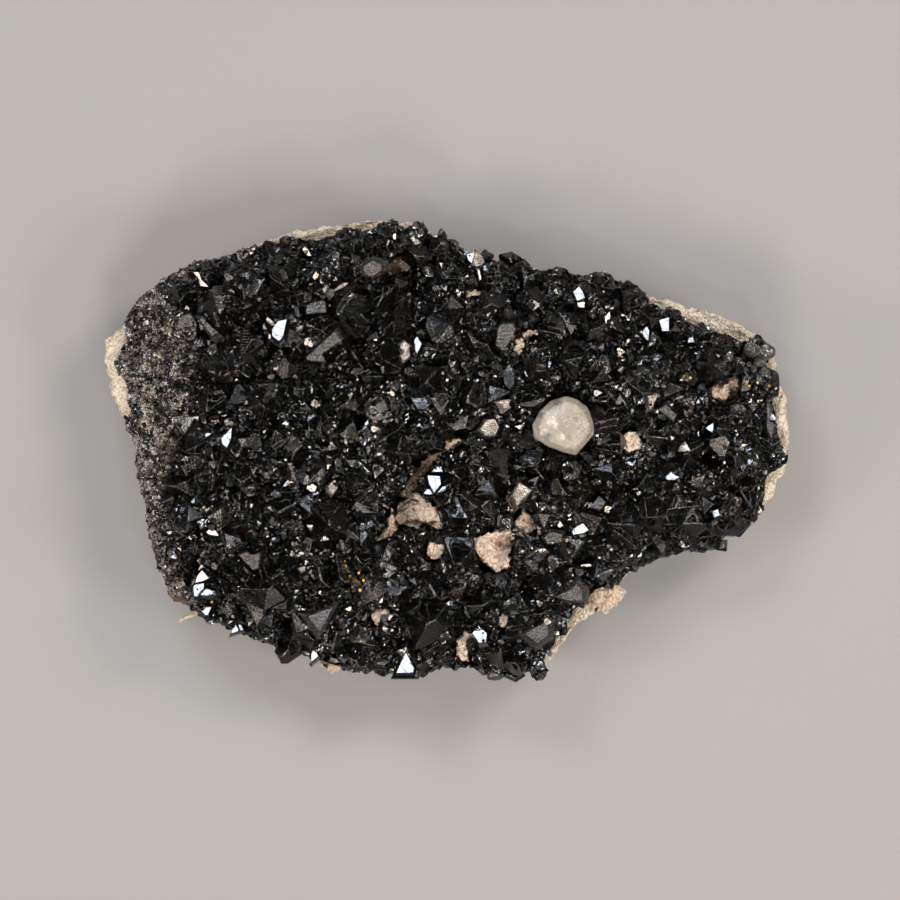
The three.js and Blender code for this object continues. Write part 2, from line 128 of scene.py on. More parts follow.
# Bare rock between the crystals: how deep it lies under the crust's general level in
# millimetres, and its outline.
BARE_ROCK = [
    (2.2, [(463, 437), (467, 430), (469, 435), (466, 442), (455, 446), (446, 450), (439, 456),
           (433, 463), (428, 472), (421, 478), (414, 488), (409, 498), (401, 494), (410, 478),
           (420, 466), (430, 453), (440, 444), (452, 440)]),
    (0.6, [(412, 492), (425, 500), (441, 511), (443, 521), (438, 531), (427, 522), (417, 524),
           (406, 520), (398, 526), (392, 535), (381, 545), (376, 540), (388, 527), (390, 508),
           (399, 512), (405, 500)]),
    (-0.4, [(470, 544), (477, 538), (487, 534), (500, 531), (510, 530), (513, 538), (509, 547),
            (511, 557), (507, 569), (496, 571), (487, 565), (478, 555)]),
    (0.2, [(524, 509), (531, 518), (536, 528), (527, 533), (519, 528), (513, 525), (520, 516)]),
    (0.3, [(426, 548), (434, 542), (445, 545), (443, 555), (433, 557), (427, 554)]),
    (0.4, [(590, 597), (598, 589), (608, 591), (620, 588), (626, 592), (616, 604), (605, 613),
           (596, 604)]),
    (0.5, [(498, 619), (506, 614), (513, 617), (512, 625), (501, 627)]),
    (0.4, [(468, 629), (473, 632), (466, 641), (463, 650), (468, 661), (462, 660), (457, 651),
           (460, 639)]),
    (-0.1, [(620, 441), (624, 433), (633, 430), (640, 437), (639, 447), (630, 452), (622, 448)]),
    (-0.5, [(711, 388), (722, 381), (736, 378), (741, 386), (733, 393), (722, 400), (713, 396)]),
    (-0.3, [(387, 265), (395, 261), (402, 258), (411, 257), (412, 266), (410, 272), (400, 269),
           (391, 270)]),
    (3.0, [(413, 289), (419, 279), (422, 272), (428, 267), (437, 271), (431, 278), (424, 285),
           (417, 290)]),
    (0.2, [(467, 296), (471, 291), (478, 294), (484, 293), (481, 300), (475, 302)]),
    (0.2, [(512, 351), (517, 341), (525, 333), (536, 330), (537, 334), (529, 336), (524, 341),
           (523, 348), (520, 354)]),
    (0.8, [(374, 617), (380, 611), (388, 612), (384, 621), (376, 623)]),
    (0.2, [(322, 663), (331, 657), (340, 661), (341, 668), (331, 671), (323, 667)]),
]

# How much of the dark brown colour is laid over the rock inside an outline.
DARKENED_ROCK = [
    (0.65, [(452, 440), (440, 458), (428, 474), (408, 500), (398, 494), (410, 474), (426, 452),
            (440, 440)]),
    (0.9, [(428, 468), (420, 482), (410, 500), (398, 498), (404, 482), (416, 466)]),
    (0.5, [(413, 292), (419, 276), (430, 264), (440, 270), (431, 282), (419, 293)]),
    (1.0, [(150, 565), (180, 575), (210, 598), (206, 608), (192, 609), (182, 609), (160, 600)]),
]

# Where the rock reaches further out: place, reach around it, and how far in millimetres.
RIM_SHIFTS = [((112, 345), 32, (-1.9, 0.3)), ((114, 385), 32, (-1.2, 0.0))]

# The pale sliver of rock at the edge: its tip and its root in the crust, its radius at both, how
# far round it the plate's own sliver reaches, and the width that is left of that.
SLIVER = (Vector((-55.0 * MM, -34.4 * MM, 10.5 * MM)), Vector((-46.5 * MM, -30.6 * MM, 10.5 * MM)))
SLIVER_RADII = (0.40 * MM, 0.62 * MM)
SLIVER_REACH, SLIVER_LEFT = 1.6 * MM, 0.3

# Faces that mirror one of the lamps: the lamp, or "pale" for a thinly coated face under the warm
# one whose coat is partly a painted cream glint, how far the face stands proud of the crust in millimetres,
# and its corners.
LIT_FACES = [
    ("cool", 2.2, [(272, 329), (275, 325), (278, 321), (287, 319), (283, 337), (279, 341), (272, 336)]),
    ("cool", 1.6, [(221, 438), (232, 427), (231, 439), (227, 448), (222, 444)]),
    ("cool", 1.8, [(440, 463), (443, 472), (431, 472)]),
    ("cool", 2.2, [(427, 475), (440, 476), (441, 484), (434, 493), (429, 484)]),
    ("cool", 1.5, [(423, 494), (429, 486), (433, 495)]),
    ("cool", 1.5, [(435, 493), (441, 486), (446, 486), (446, 490), (441, 492)]),
    ("pale", 1.5, [(481, 429), (487, 420), (495, 419), (499, 427), (495, 434), (487, 434)]),
    ("pale", 1.8, [(513, 495), (520, 483), (531, 490), (518, 504)]),
    ("warm", 1.2, [(514, 426), (526, 424), (522, 431)]),
    ("pale", 1.0, [(499, 401), (515, 398), (511, 406), (505, 409)]),
    ("cool", 1.6, [(572, 531), (574, 528), (583, 523), (589, 530), (584, 533), (573, 535)]),
    ("warm", 1.0, [(596, 479), (600, 479), (603, 483), (598, 484)]),
    ("haze", 1.2, [(527, 481), (539, 476), (535, 486)]),
    ("grey", 1.2, [(538, 514), (550, 514), (544, 529)]),
    ("grey", 1.4, [(544, 538), (550, 532), (562, 534), (563, 542), (548, 544)]),
    ("haze", 1.4, [(590, 507), (599, 496), (606, 502), (600, 510)]),
    ("cool", 1.8, [(573, 292), (579, 286), (583, 292), (585, 298), (577, 301)]),
    ("warm", 1.6, [(577, 302), (585, 299), (585, 308), (578, 307)]),
    ("cool", 1.8, [(659, 320), (669, 317), (669, 331), (662, 331)]),
    ("cool", 1.5, [(643, 330), (647, 326), (651, 334), (648, 341), (643, 336)]),
    ("cool", 1.5, [(687, 343), (690, 331), (695, 342)]),
    ("warm", 1.3, [(604, 317), (610, 311), (611, 321), (606, 324)]),
    ("pale", 1.3, [(648, 396), (658, 393), (653, 407), (649, 409)]),
    ("grey", 1.6, [(658, 410), (666, 405), (676, 415), (674, 422), (666, 415)]),
    ("cool", 1.6, [(705, 428), (714, 422), (713, 433)]),
    ("cool", 1.5, [(665, 477), (673, 470), (675, 475), (680, 477), (675, 480), (667, 480)]),
    ("grey", 1.4, [(767, 403), (770, 410), (774, 425), (771, 438), (767, 430)]),
    ("haze", 1.6, [(667, 456), (674, 444), (676, 455), (669, 458)]),
    ("cool", 1.4, [(472, 633), (479, 626), (487, 633), (486, 642), (479, 643)]),
    ("cool", 1.0, [(506, 674), (514, 670), (520, 670), (521, 674), (515, 678)]),
    ("grey", 1.8, [(555, 597), (570, 590), (576, 584), (582, 590), (582, 601), (570, 601)]),
    ("warm", 1.2, [(581, 564), (592, 563), (592, 567), (581, 567)]),
    ("warm", 1.0, [(624, 556), (633, 553), (633, 557), (624, 558)]),
    ("haze", 1.5, [(525, 633), (534, 628), (548, 621), (548, 635), (537, 643)]),
    ("grey", 1.2, [(514, 534), (521, 531), (525, 538)]),
    ("warm", 1.2, [(192, 533), (198, 536), (197, 538), (192, 537)]),
    ("warm", 1.4, [(206, 532), (213, 526), (219, 536), (209, 535)]),
    ("grey", 1.3, [(220, 536), (231, 535), (236, 538), (232, 542), (223, 538)]),
    ("grey", 1.4, [(164, 545), (166, 545), (164, 565), (160, 565)]),
    ("cool", 1.5, [(171, 549), (178, 555), (176, 559), (170, 558)]),
    ("warm", 1.8, [(202, 570), (209, 578), (204, 581), (195, 583), (197, 576)]),
    ("cool", 1.4, [(195, 584), (204, 583), (204, 588), (197, 597), (194, 596), (193, 587)]),
    ("cool", 1.0, [(206, 588), (216, 592), (209, 596), (200, 595)]),
    ("cool", 1.4, [(199, 608), (204, 599), (209, 604), (212, 606), (208, 615), (205, 615)]),
    ("cool", 1.2, [(230, 634), (235, 623), (238, 628), (239, 631)]),
    ("cool", 1.2, [(238, 625), (241, 622), (244, 630), (240, 631)]),
    ("grey", 2.0, [(239, 555), (247, 552), (251, 555), (260, 553), (258, 568), (253, 570), (247, 564)]),
    ("haze", 1.6, [(240, 592), (252, 584), (253, 599), (244, 598)]),
    ("grey", 1.8, [(250, 604), (262, 606), (263, 616), (257, 625), (252, 615)]),
    ("cool", 1.8, [(406, 652), (414, 668), (413, 673), (396, 673), (401, 662)]),
    ("cool", 1.2, [(314, 648), (319, 656), (311, 662), (311, 654)]),
    ("pale", 1.2, [(299, 568), (305, 566), (305, 570), (302, 572)]),
    ("haze", 2.0, [(308, 616), (324, 610), (333, 607), (324, 625), (319, 631)]),
    ("warm", 1.2, [(344, 609), (352, 605), (351, 612)]),
    ("grey", 1.0, [(376, 662), (390, 661), (394, 666), (378, 665)]),
    ("cool", 1.2, [(432, 235), (443, 234), (443, 237), (433, 238)]),
    ("cool", 1.0, [(435, 240), (448, 239), (449, 241), (436, 242)]),
    ("cool", 1.2, [(466, 254), (475, 252), (472, 264), (468, 260)]),
    ("pale", 1.2, [(476, 252), (482, 256), (485, 262), (480, 270), (475, 268), (474, 260)]),
    ("grey", 2.2, [(498, 328), (502, 324), (513, 324), (515, 330), (513, 336), (507, 345), (503, 351),
                   (496, 345)]),
    ("grey", 1.5, [(500, 312), (506, 309), (511, 313), (510, 318), (503, 320)]),
    ("cool", 1.2, [(414, 340), (417, 336), (422, 344), (417, 354), (415, 350)]),
    ("pale", 1.2, [(401, 344), (405, 341), (410, 346), (410, 356), (404, 360), (400, 356)]),
    ("cool", 1.0, [(418, 321), (423, 315), (425, 317), (420, 322)]),
    ("grey", 1.2, [(416, 333), (421, 330), (427, 333), (425, 339), (419, 337)]),
    ("warm", 1.4, [(193, 272), (199, 272), (202, 280), (209, 287), (200, 286), (198, 278)]),
    ("warm", 1.2, [(312, 277), (316, 271), (319, 275), (316, 281)]),
    ("warm", 1.2, [(302, 249), (306, 246), (312, 256), (307, 256)]),
    ("grey", 1.8, [(363, 267), (372, 261), (382, 264), (381, 271), (372, 277), (365, 274)]),
    ("pale", 1.2, [(335, 289), (343, 283), (348, 283), (344, 287), (337, 290)]),
    ("grey", 1.2, [(374, 313), (379, 302), (384, 302), (382, 312)]),
    ("warm", 1.0, [(269, 275), (279, 274), (281, 278), (272, 278)]),
    ("haze", 1.8, [(306, 311), (307, 305), (322, 300), (325, 302), (326, 312), (307, 314)]),
    ("grey", 1.8, [(179, 318), (190, 314), (197, 324), (195, 332), (188, 337), (178, 326)]),
    ("haze", 1.6, [(199, 318), (203, 318), (212, 327), (218, 332), (212, 336), (205, 327)]),
    ("grey", 1.8, [(307, 357), (334, 332), (341, 341), (322, 354), (326, 362), (307, 360)]),
    ("pale", 1.4, [(329, 485), (335, 480), (338, 487), (333, 494), (329, 491)]),
    ("cool", 1.4, [(712, 511), (718, 509), (720, 515), (714, 518)]),
    ("haze", 1.0, [(608, 416), (612, 417), (613, 423), (609, 423)]),
    ("haze", 1.0, [(460, 393), (464, 392), (464, 396), (461, 396)]),
    ("cool", 1.0, [(323, 665), (327, 664), (327, 668)]),
    ("warm", 1.4, [(477, 270), (480, 269), (482, 279), (479, 281)]),
    ("grey", 1.4, [(376, 404), (384, 401), (388, 409), (380, 414), (375, 410)]),
]

# Big dark crystals: middle and width.
BIG_CRYSTALS = [
    (215, 300, 34), (320, 340, 38), (460, 572, 36), (620, 522, 36), (455, 470, 24), (245, 262, 30),
    (290, 262, 28), (330, 250, 30), (350, 300, 34), (250, 345, 30), (205, 395, 26), (262, 402, 30),
    (300, 390, 28), (372, 350, 30), (430, 380, 28), (350, 430, 28), (295, 450, 30), (245, 480, 30),
    (205, 480, 26), (330, 520, 30), (280, 520, 30), (225, 560, 28), (290, 590, 34), (345, 570, 30),
    (395, 590, 32), (300, 625, 28), (360, 640, 30), (430, 625, 34), (480, 605, 30), (540, 590, 32),
    (500, 650, 30), (545, 640, 28), (560, 560, 34), (600, 545, 28), (655, 515, 32), (700, 505, 30),
    (745, 490, 28), (690, 460, 30), (740, 440, 32), (660, 440, 26), (610, 470, 28), (560, 490, 28),
    (530, 460, 26), (490, 490, 26), (480, 385, 28), (540, 370, 30), (590, 350, 30), (640, 375, 32),
    (690, 370, 34), (735, 350, 28), (620, 315, 28), (570, 320, 26), (530, 300, 28), (560, 275, 24),
    (480, 340, 28), (450, 310, 26), (400, 300, 26), (350, 385, 26),
    (175, 290, 24), (610, 400, 26), (770, 410, 24), (400, 450, 28), (380, 490, 26), (430, 590, 24),
    (655, 345, 26), (585, 430, 22), (720, 415, 28), (595, 500, 28), (165, 500, 20), (260, 310, 28),
]

# Fine-grained, dusty crust: the corners of its course, each with the half width there.
FINE_CRUST = [(262, 240, 6), (200, 258, 7), (148, 288, 12), (156, 350, 40), (150, 400, 38),
              (142, 450, 26), (148, 510, 18), (156, 560, 16), (178, 600, 14)]

# Brassy specks and clear grains: middle and width.
GOLD = [(346, 566, 3), (348, 571, 3), (350, 576, 3), (355, 579, 4), (357, 583, 3), (353, 587, 3),
        (349, 591, 2), (360, 590, 3), (364, 580, 3), (359, 573, 3), (361, 569, 3), (364, 566, 2),
        (369, 562, 3), (338, 574, 2), (345, 561, 2), (350, 558, 2), (686, 374, 4), (682, 376, 3),
        (690, 378, 3), (745, 385, 3), (749, 386, 3), (757, 383, 3), (212, 602, 3), (318, 275, 2),
        (356, 306, 2), (596, 482, 2), (769, 386, 3), (606, 603, 2), (594, 591, 2)]
GLASSY = [(752, 350, 17), (766, 352, 19), (760, 362, 12), (770, 367, 14), (764, 374, 12), (745, 372, 10),
          (737, 361, 10), (773, 380, 11), (754, 369, 9), (729, 357, 8), (741, 364, 8), (549, 458, 5)]

# The calcite: its middle, and its outline at the waist.
CALCITE_PLACE = (563.5, 424.5)
CALCITE_OUTLINE = [(566, 396), (577, 399), (587, 407), (594, 423), (594, 434), (585, 445), (576, 455),
                   (564, 453), (549, 447), (534, 438), (532, 425), (539, 411), (551, 401)]
# Its rings: share of the outline, share of the height, slide to the right and back in millimetres.
CALCITE_RINGS = [(0.60, 0.0, (0.3, 0.2)), (0.90, 0.25, (0.1, 0.1)), (1.0, 0.60, (0, 0)),
                 (0.965, 0.80, (0, 0)), (0.80, 0.93, (0.1, -0.1)), (0.42, 1.0, (0.2, -0.5))]
# Clear, milky and pitted spots of it: middle and reach. Other crystals keep CALCITE_ROOM away.
CLEAR_SPOTS = [((557, 404), 5.5), ((541, 415), 3.5), ((576, 419), 3.0), ((547, 436), 4.5)]
MILKY_SPOTS = [((551, 421), 5.5), ((546, 414), 3.0), ((556, 426), 3.5), ((561, 437), 4.0),
               ((545, 432), 3.5)]
PITTED_SPOTS = [((548, 433), 4.0), ((541, 427), 2.5), ((577, 416), 4.0), ((559, 450), 4.0)]
CALCITE_ROOM = 6.2 * MM

# How a lump of bare rock is cut out of the plate and built: height of the lump, margin of its
# bed in units of SEEN, and how much deeper the bed lies than the lump's outline inside the crust
# and at the rim, in millimetres.
LUMP_HEIGHT = 4.4 * MM
BED_MARGIN = 6.5
BED_DEPTH, RIM_BED_DEPTH = 3.8, 0.9

# Where crystals may start: how far a spot may look down, its height over the floor, and how far
# the rock has to be ahead of it and beside it.
OVERHANG = -0.55
LOWEST_SPOT = 5 * MM
ROOM_AHEAD = 2.5 * MM
ROOM_BESIDE = 0.45 * MM
DUSTY = 0.25

# How far crystals that stand high enough to hide bare rock keep off it, for broad ones and the
# rest, and off the calcite's room, as shares of their radius.
HIDING_HEIGHT = 12 * MM
BROAD_RADIUS = 2 * MM
BROAD_GAP, NARROW_GAP, CALCITE_GAP = 0.55, 0.36, 0.25

# At the rim, as shares of a crystal's radius: how deep its root lies under its middle, how deep the
# root has to lie in the crust, and how far the crystal may stand out.
ROOT_DEPTH, ROOT_COVER, RIM_REACH = 0.6, 0.3, 0.92

# How much the depth of crystals varies, and how much deeper they stand on steep ground, for
# sharp-edged and for worn ones, as shares of the radius.
DEPTH_SPREAD = 0.25
STEEP_DEPTH, WORN_STEEP_DEPTH = 0.25, 0.75

# Spots that land on what has grown: how high they start, how far they fall, and how high over the
# crust they count as being on top of a crystal, in millimetres.
DROP_HEIGHT, DROP_REACH, ON_TOP_HEIGHT = 5, 9, 0.4

# Heights for places of the tables that lie past the crust's edge as seen.
EDGE_HEIGHT = SHARP_HEIGHT - 6 * MM
LIT_EDGE_HEIGHT = SHARP_HEIGHT - 2 * MM

# How far the ground between the crystals lies below the crust's general level in millimetres:
# everywhere, round bare rock on top of that rock's own depth, and under the calcite. The last two
# are for corners that look up by more than LEVEL.
GROUND_DEPTH, ROCK_HOLLOW, CALCITE_HOLLOW = 0.9, 2.5, 1.5
LEVEL = 0.2

# A crystal widens twice below its mirroring face: by which factor, and how far down, first as a
# share of its reach, up to NECK_LIMIT, and then in metres. Its face stands a little prouder than
# the table says, its edges are worn, and other crystals keep KEPT_FREE of its reach away.
NECK, NECK_LIMIT = (1.35, 0.9), 1.6 * MM
FOOT = (1.25, 3.2 * MM)
PROUDER = 0.5
WORN_WIDTH = 0.07 * MM
KEPT_FREE = 1.25

# Crystals with worn edges: spots tried, radii as shares of the middling one, fineness of the crust
# up to which they grow, their shapes, depth as a share of the radius, turns tried against glare.
COARSE_CRYSTALS = {
    "large_crystals": (4000, (1.3, 1.8), 0.4, (24, 2, 0.018, 10), 0.22, 10),
    "middling_crystals": (9000, (0.65, 1.15), 1.0, (32, 1, 0.022, 12), 0.26, 2),
}

# Sharp-edged ones that grow on all of them: which radius of the look, spots tried, only on dusty
# crust or not, share kept on top of others, radii as shares, how much smaller they get on fine
# crust, closeness, number of shapes, depth as a share of the radius.
TINY_CRYSTALS = {
    "small_crystals": ("small", 26000, False, 0.02, (0.7, 1.4), 0.5, 0.50, 16, 0.25),
    "fine_grained_crust": ("fine", 16000, True, 0.5, (0.7, 1.8), 0.0, 0.42, 10, 0.1),
    "fine_crystals": ("fine", 40000, False, 0.03, (0.6, 1.3), 0.0, 0.50, 10, 0.2),
}


def seen_ray(right, down):
    """The line of sight to a place of the tables."""
    target = Vector((CENTRE.x + (right - SEEN_MIDDLE) * SEEN,
                     CENTRE.y + (SEEN_MIDDLE - down) * SEEN, SHARP_HEIGHT))
    return (target - EYE).normalized()


def seen_on(tree, right, down):
    """Where the line of sight meets a surface, or None where it passes it."""
    return tree.ray_cast(EYE, seen_ray(right, down))[0]


def seen_at(right, down, height):
    """The point of the line of sight at a height."""
    ray = seen_ray(right, down)
    return EYE + ray * ((height - EYE.z) / ray.z)


def as_seen(corners):
    """Where points appear from above, in the units of the tables."""
    nearer = (EYE_HEIGHT - SHARP_HEIGHT) / (EYE_HEIGHT - corners[:, 2])
    right = (corners[:, 0] - CENTRE.x) * nearer / SEEN + SEEN_MIDDLE
    down = SEEN_MIDDLE - (corners[:, 1] - CENTRE.y) * nearer / SEEN
    return np.stack([right, down], axis=1)


def gap_to(seen, place):
    """How far seen points lie from a place."""
    return np.hypot(*(seen - place).T)


def near_spots(seen, spots, values):
    """Values raised round some spots, up to 1 within 0.4 of each one's reach."""
    for place, reach in spots:
        values = np.maximum(values, (1.4 - gap_to(seen, place) / reach).clip(0, 1))
    return values


def beside_line(seen, start, end):
    """Where along a line seen points lie, as a share of it, and how far from it."""
    along = end - start
    share = np.clip(((seen - start) @ along) / (along @ along), 0, 1)
    return share, gap_to(seen, start + share[:, None] * along)


def edge_distance(outline, seen):
    """How far seen points lie outside an outline; inside, the distance is negative."""
    corners = np.array(outline, dtype=float)
    nearest = np.full(len(seen), np.inf)
    inside = np.zeros(len(seen), dtype=bool)
    for start, end in zip(corners, np.roll(corners, -1, axis=0)):
        nearest = np.minimum(nearest, beside_line(seen, start, end)[1])
        if start[1] != end[1]:
            crosses = (start[1] > seen[:, 1]) != (end[1] > seen[:, 1])
            reach = start[0] + (seen[:, 1] - start[1]) * (end[0] - start[0]) / (end[1] - start[1])
            inside ^= crosses & (seen[:, 0] < reach)
    return np.where(inside, -nearest, nearest)


def fineness(seen):
    """From 0 in the coarse crust to 1 in the fine-grained part, for seen points."""
    result = np.zeros(len(seen))
    course = np.array(FINE_CRUST, dtype=float)
    for start, end in zip(course, course[1:]):
        share, gap = beside_line(seen, start[:2], end[:2])
        wide = start[2] + (end[2] - start[2]) * share
        result = np.maximum(result, ((1.25 - gap / wide) / 0.6).clip(0, 1))
    return result


def lamp_place(name):
    """Where a lamp stands."""
    around, up, distance = LAMPS[name][:3]
    around, up = math.radians(around), math.radians(up)
    level = math.cos(up) * distance
    return Vector((math.cos(around) * level, math.sin(around) * level, math.sin(up) * distance))


def linked(name, data):
    """A new object in the scene."""
    made = bpy.data.objects.new(name, data)
    bpy.context.collection.objects.link(made)
    return made


def mesh_of(bm, name):
    """A bmesh as a mesh."""
    mesh = bpy.data.meshes.new(name)
    bm.to_mesh(mesh)
    bm.free()
    return mesh


def merged_copy(node):
    """A CAD node's mesh as one closed skin."""
    bm = bmesh.new()
    bm.from_mesh(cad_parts[node].data)
    bmesh.ops.remove_doubles(bm, verts=bm.verts, dist=WELD)
    return bm


def evened(bm, voxel, rounds):
    """The same shape in small even faces, smoothed in several rounds."""
    rough = mesh_of(bm, "rough")
    shape = linked("rough", rough)
    skin = shape.modifiers.new("skin", "REMESH")
    skin.mode = "VOXEL"
    skin.voxel_size = voxel
    relax = shape.modifiers.new("relax", "SMOOTH")
    relax.factor = 0.5
    relax.iterations = rounds
    made = bpy.data.meshes.new_from_object(shape.evaluated_get(bpy.context.evaluated_depsgraph_get()))
    bpy.data.objects.remove(shape)
    bpy.data.meshes.remove(rough)
    return made


def values_of(items, name, width=3, kind=float):
    """One property of all items of a mesh, with a row for each item."""
    values = np.empty(len(items) * width, dtype=kind)
    items.foreach_get(name, values)
    return values.reshape(-1, width)


def corners_of(mesh):
    return values_of(mesh.vertices, "co")


def normals_of(mesh):
    return values_of(mesh.vertex_normals, "vector")


def triangles_of(mesh):
    mesh.calc_loop_triangles()
    return values_of(mesh.loop_triangles, "vertices", 3, np.int32)


def set_corners(mesh, corners):
    mesh.vertices.foreach_set("co", np.asarray(corners, dtype=np.float32).ravel())
    mesh.update()


def note(mesh, name, values, domain="POINT"):
    """Keeps a number for each corner or face, which a material reads."""
    mesh.attributes.new(name, "FLOAT", domain).data.foreach_set("value", values)


def note_grain(mesh, places):
    """Keeps each corner's place in its own crystal, in millimetres, which growth lines follow."""
    data = mesh.attributes.new("grain", "FLOAT_VECTOR", "POINT").data
    data.foreach_set("vector", places.astype(np.float32).ravel())


def tree_of(*meshes):
    """Meshes as one surface that lines can be cast on."""
    corners, triangles = [], []
    for mesh in meshes:
        triangles.append(triangles_of(mesh) + sum(len(earlier) for earlier in corners))
        corners.append(corners_of(mesh))
    return BVHTree.FromPolygons(np.vstack(corners).tolist(), np.vstack(triangles).tolist())


def roughened(mesh, lumps, seed):
    """Moves each corner along its normal by layers of noise: (size, height) in millimetres."""
    corners, normals = corners_of(mesh), normals_of(mesh)
    shift = Vector((seed * 3.7, seed * 1.3, seed * 5.1))
    heights = np.zeros(len(corners))
    for size, height in lumps:
        for index, corner in enumerate(corners / (size * MM)):
            heights[index] += height * MM * noise.noise(Vector(corner) + shift)
    set_corners(mesh, corners + normals * heights[:, None])


def grained(mesh, size, height):
    """Draws each corner in by its distance from the middle of its grain, which leaves round grains."""
    corners, normals = corners_of(mesh), normals_of(mesh)
    depths = np.array([noise.voronoi(Vector(corner))[0][0] for corner in corners / size])
    set_corners(mesh, corners - normals * (depths - 0.4)[:, None] * size * height)


def thinned_sliver(corners):
    """Draws the rock's own sliver in, so that the finished one covers it."""
    start, end = np.array(SLIVER[0]), np.array(SLIVER[1])
    along = end - start
    share = ((corners - start) @ along) / (along @ along)
    axis = start + share[:, None] * along
    near = (share < 0.8) & (np.linalg.norm(corners - axis, axis=1) < SLIVER_REACH)
    result = corners.copy()
    result[near] = axis[near] + SLIVER_LEFT * (corners - axis)[near]
    return result


def piece(name, mesh, finish, replaced=()):
    """A finished part of the specimen, which stands for CAD nodes if it replaces them."""
    made = linked(name, mesh)
    mesh.materials.clear()
    mesh.materials.append(finish)
    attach(made, "root")
    if replaced:
        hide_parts(*replaced)
    return made


class Value:
    """A number of a material that changes over the surface."""

    def __init__(self, finish, socket):
        self.finish = finish
        self.socket = socket

    def maths(self, operation, first, second):
        return self.finish.node("ShaderNodeMath", {"operation": operation}, {0: first, 1: second})

    def __add__(self, other):
        return self.maths("ADD", self, other)

    def __sub__(self, other):
        return self.maths("SUBTRACT", self, other)

    def __rsub__(self, other):
        return self.maths("SUBTRACT", other, self)

    def __mul__(self, other):
        return self.maths("MULTIPLY", self, other)

    __radd__ = __add__
    __rmul__ = __mul__

    def other(self, output):
        """Another output of the same node."""
        return Value(self.finish, self.socket.node.outputs[output])

    def step(self, low, high):
        """0 below low, 1 above high and a smooth rise between them."""
        settings = {"interpolation_type": "SMOOTHSTEP"}
        return self.finish.node("ShaderNodeMapRange", settings, {0: self, 1: low, 2: high})


class Finish:
    """A material in the making, with a base colour and coats of others over it."""

    def __init__(self, name, colour, **constant):
        self.material = bpy.data.materials.new(name)
        self.material.use_nodes = True
        self.tree = self.material.node_tree
        self.shader = next(node for node in self.tree.nodes if node.type == "BSDF_PRINCIPLED")
        self.colour = colour
        self.dress(**constant)

    def feed(self, socket, value):
        """Links a value to a socket, or sets it there where it is constant."""
        if isinstance(value, Value):
            self.tree.links.new(value.socket, socket)
        elif socket.type == "RGBA":
            socket.default_value = (*value, 1.0)
        else:
            socket.default_value = value

    def node(self, kind, settings, inputs, output=0):
        """Adds a node and gives one of its outputs."""
        made = self.tree.nodes.new(kind)
        for name, value in settings.items():
            setattr(made, name, value)
        for name, value in inputs.items():
            self.feed(made.inputs[name], value)
        return Value(self, made.outputs[output])

    def place(self):
        return self.node("ShaderNodeTexCoord", {}, {}, "Object")

    def attribute(self, name, output="Fac"):
        return self.node("ShaderNodeAttribute", {"attribute_name": name}, {}, output)

    def vector(self, operation, first, second, output="Vector"):
        return self.node("ShaderNodeVectorMath", {"operation": operation}, {0: first, 1: second}, output)

    def steepness(self):
        """From 0 on faces that look up to 1 on those that stand steeply."""
        geometry = self.node("ShaderNodeNewGeometry", {}, {}, "True Normal")
        upward = self.vector("DOT_PRODUCT", geometry, (0.0, 0.0, 1.0), "Value")
        return (1 - upward).step(0.15, 0.35)

    def noise(self, where, size, detail=2.0, roughness=0.5, distortion=0.0):
        """Noise from 0 to 1 whose lumps are about size metres wide."""
        inputs = {"Vector": where, "Scale": 1 / size, "Detail": detail, "Roughness": roughness,
                  "Distortion": distortion}
        return self.node("ShaderNodeTexNoise", {}, inputs)

    def bands(self, where, scale, distortion, detail, detail_scale=1.0, **settings):
        """Wavy bands from 0 to 1."""
        inputs = {"Vector": where, "Scale": scale, "Distortion": distortion, "Detail": detail,
                  "Detail Scale": detail_scale}
        return self.node("ShaderNodeTexWave", settings, inputs)

    def cells(self, where, size, output, **settings):
        """Cells about size metres wide."""
        return self.node("ShaderNodeTexVoronoi", settings, {"Vector": where, "Scale": 1 / size}, output)

    def mosaic(self, where, size):
        """Height in millimetres of flat growth fields that each lean their own way."""
        centre = self.cells(where, size, "Position")
        lean = self.vector("SUBTRACT", centre.other("Color"), (0.5, 0.5, 0.5))
        offset = self.vector("SUBTRACT", where, centre)
        return self.vector("DOT_PRODUCT", offset, lean, "Value") * (1 / MM)

    def coat(self, share, colour):
        """Lays a colour over those before, by a share that changes over the surface."""
        mix = self.tree.nodes.new("ShaderNodeMix")
        mix.data_type = "RGBA"
        factor, _, _, _, _, _, below, above = mix.inputs[:8]
        for socket, value in ((factor, share), (below, self.colour), (above, colour)):
            self.feed(socket, value)
        self.colour = Value(self, mix.outputs[2])

    def bump(self, height):
        """Relief from a height in millimetres."""
        return self.node("ShaderNodeBump", {}, {"Height": height, "Distance": MM, "Strength": 1.0})

    def dress(self, **values):
        """Sets inputs of the shader and the base colour."""
        for name, value in {"Base_Color": self.colour, **values}.items():
            self.feed(self.shader.inputs[name.replace("_", " ")], value)
        return self.material

    def dulled(self, share, gloss):
        """Mixes in the same finish with less gloss."""
        dull = self.tree.nodes.new("ShaderNodeBsdfPrincipled")
        for socket, source in zip(dull.inputs, self.shader.inputs):
            if source.is_linked:
                self.tree.links.new(source.links[0].from_socket, socket)
            elif hasattr(source, "default_value"):
                socket.default_value = source.default_value
        dull.inputs["Specular IOR Level"].default_value = gloss
        mix = self.tree.nodes.new("ShaderNodeMixShader")
        self.feed(mix.inputs[0], share)
        self.tree.links.new(self.shader.outputs[0], mix.inputs[1])
        self.tree.links.new(dull.outputs[0], mix.inputs[2])
        output = next(node for node in self.tree.nodes if node.type == "OUTPUT_MATERIAL")
        self.tree.links.new(mix.outputs[0], output.inputs[0])
        return self.material


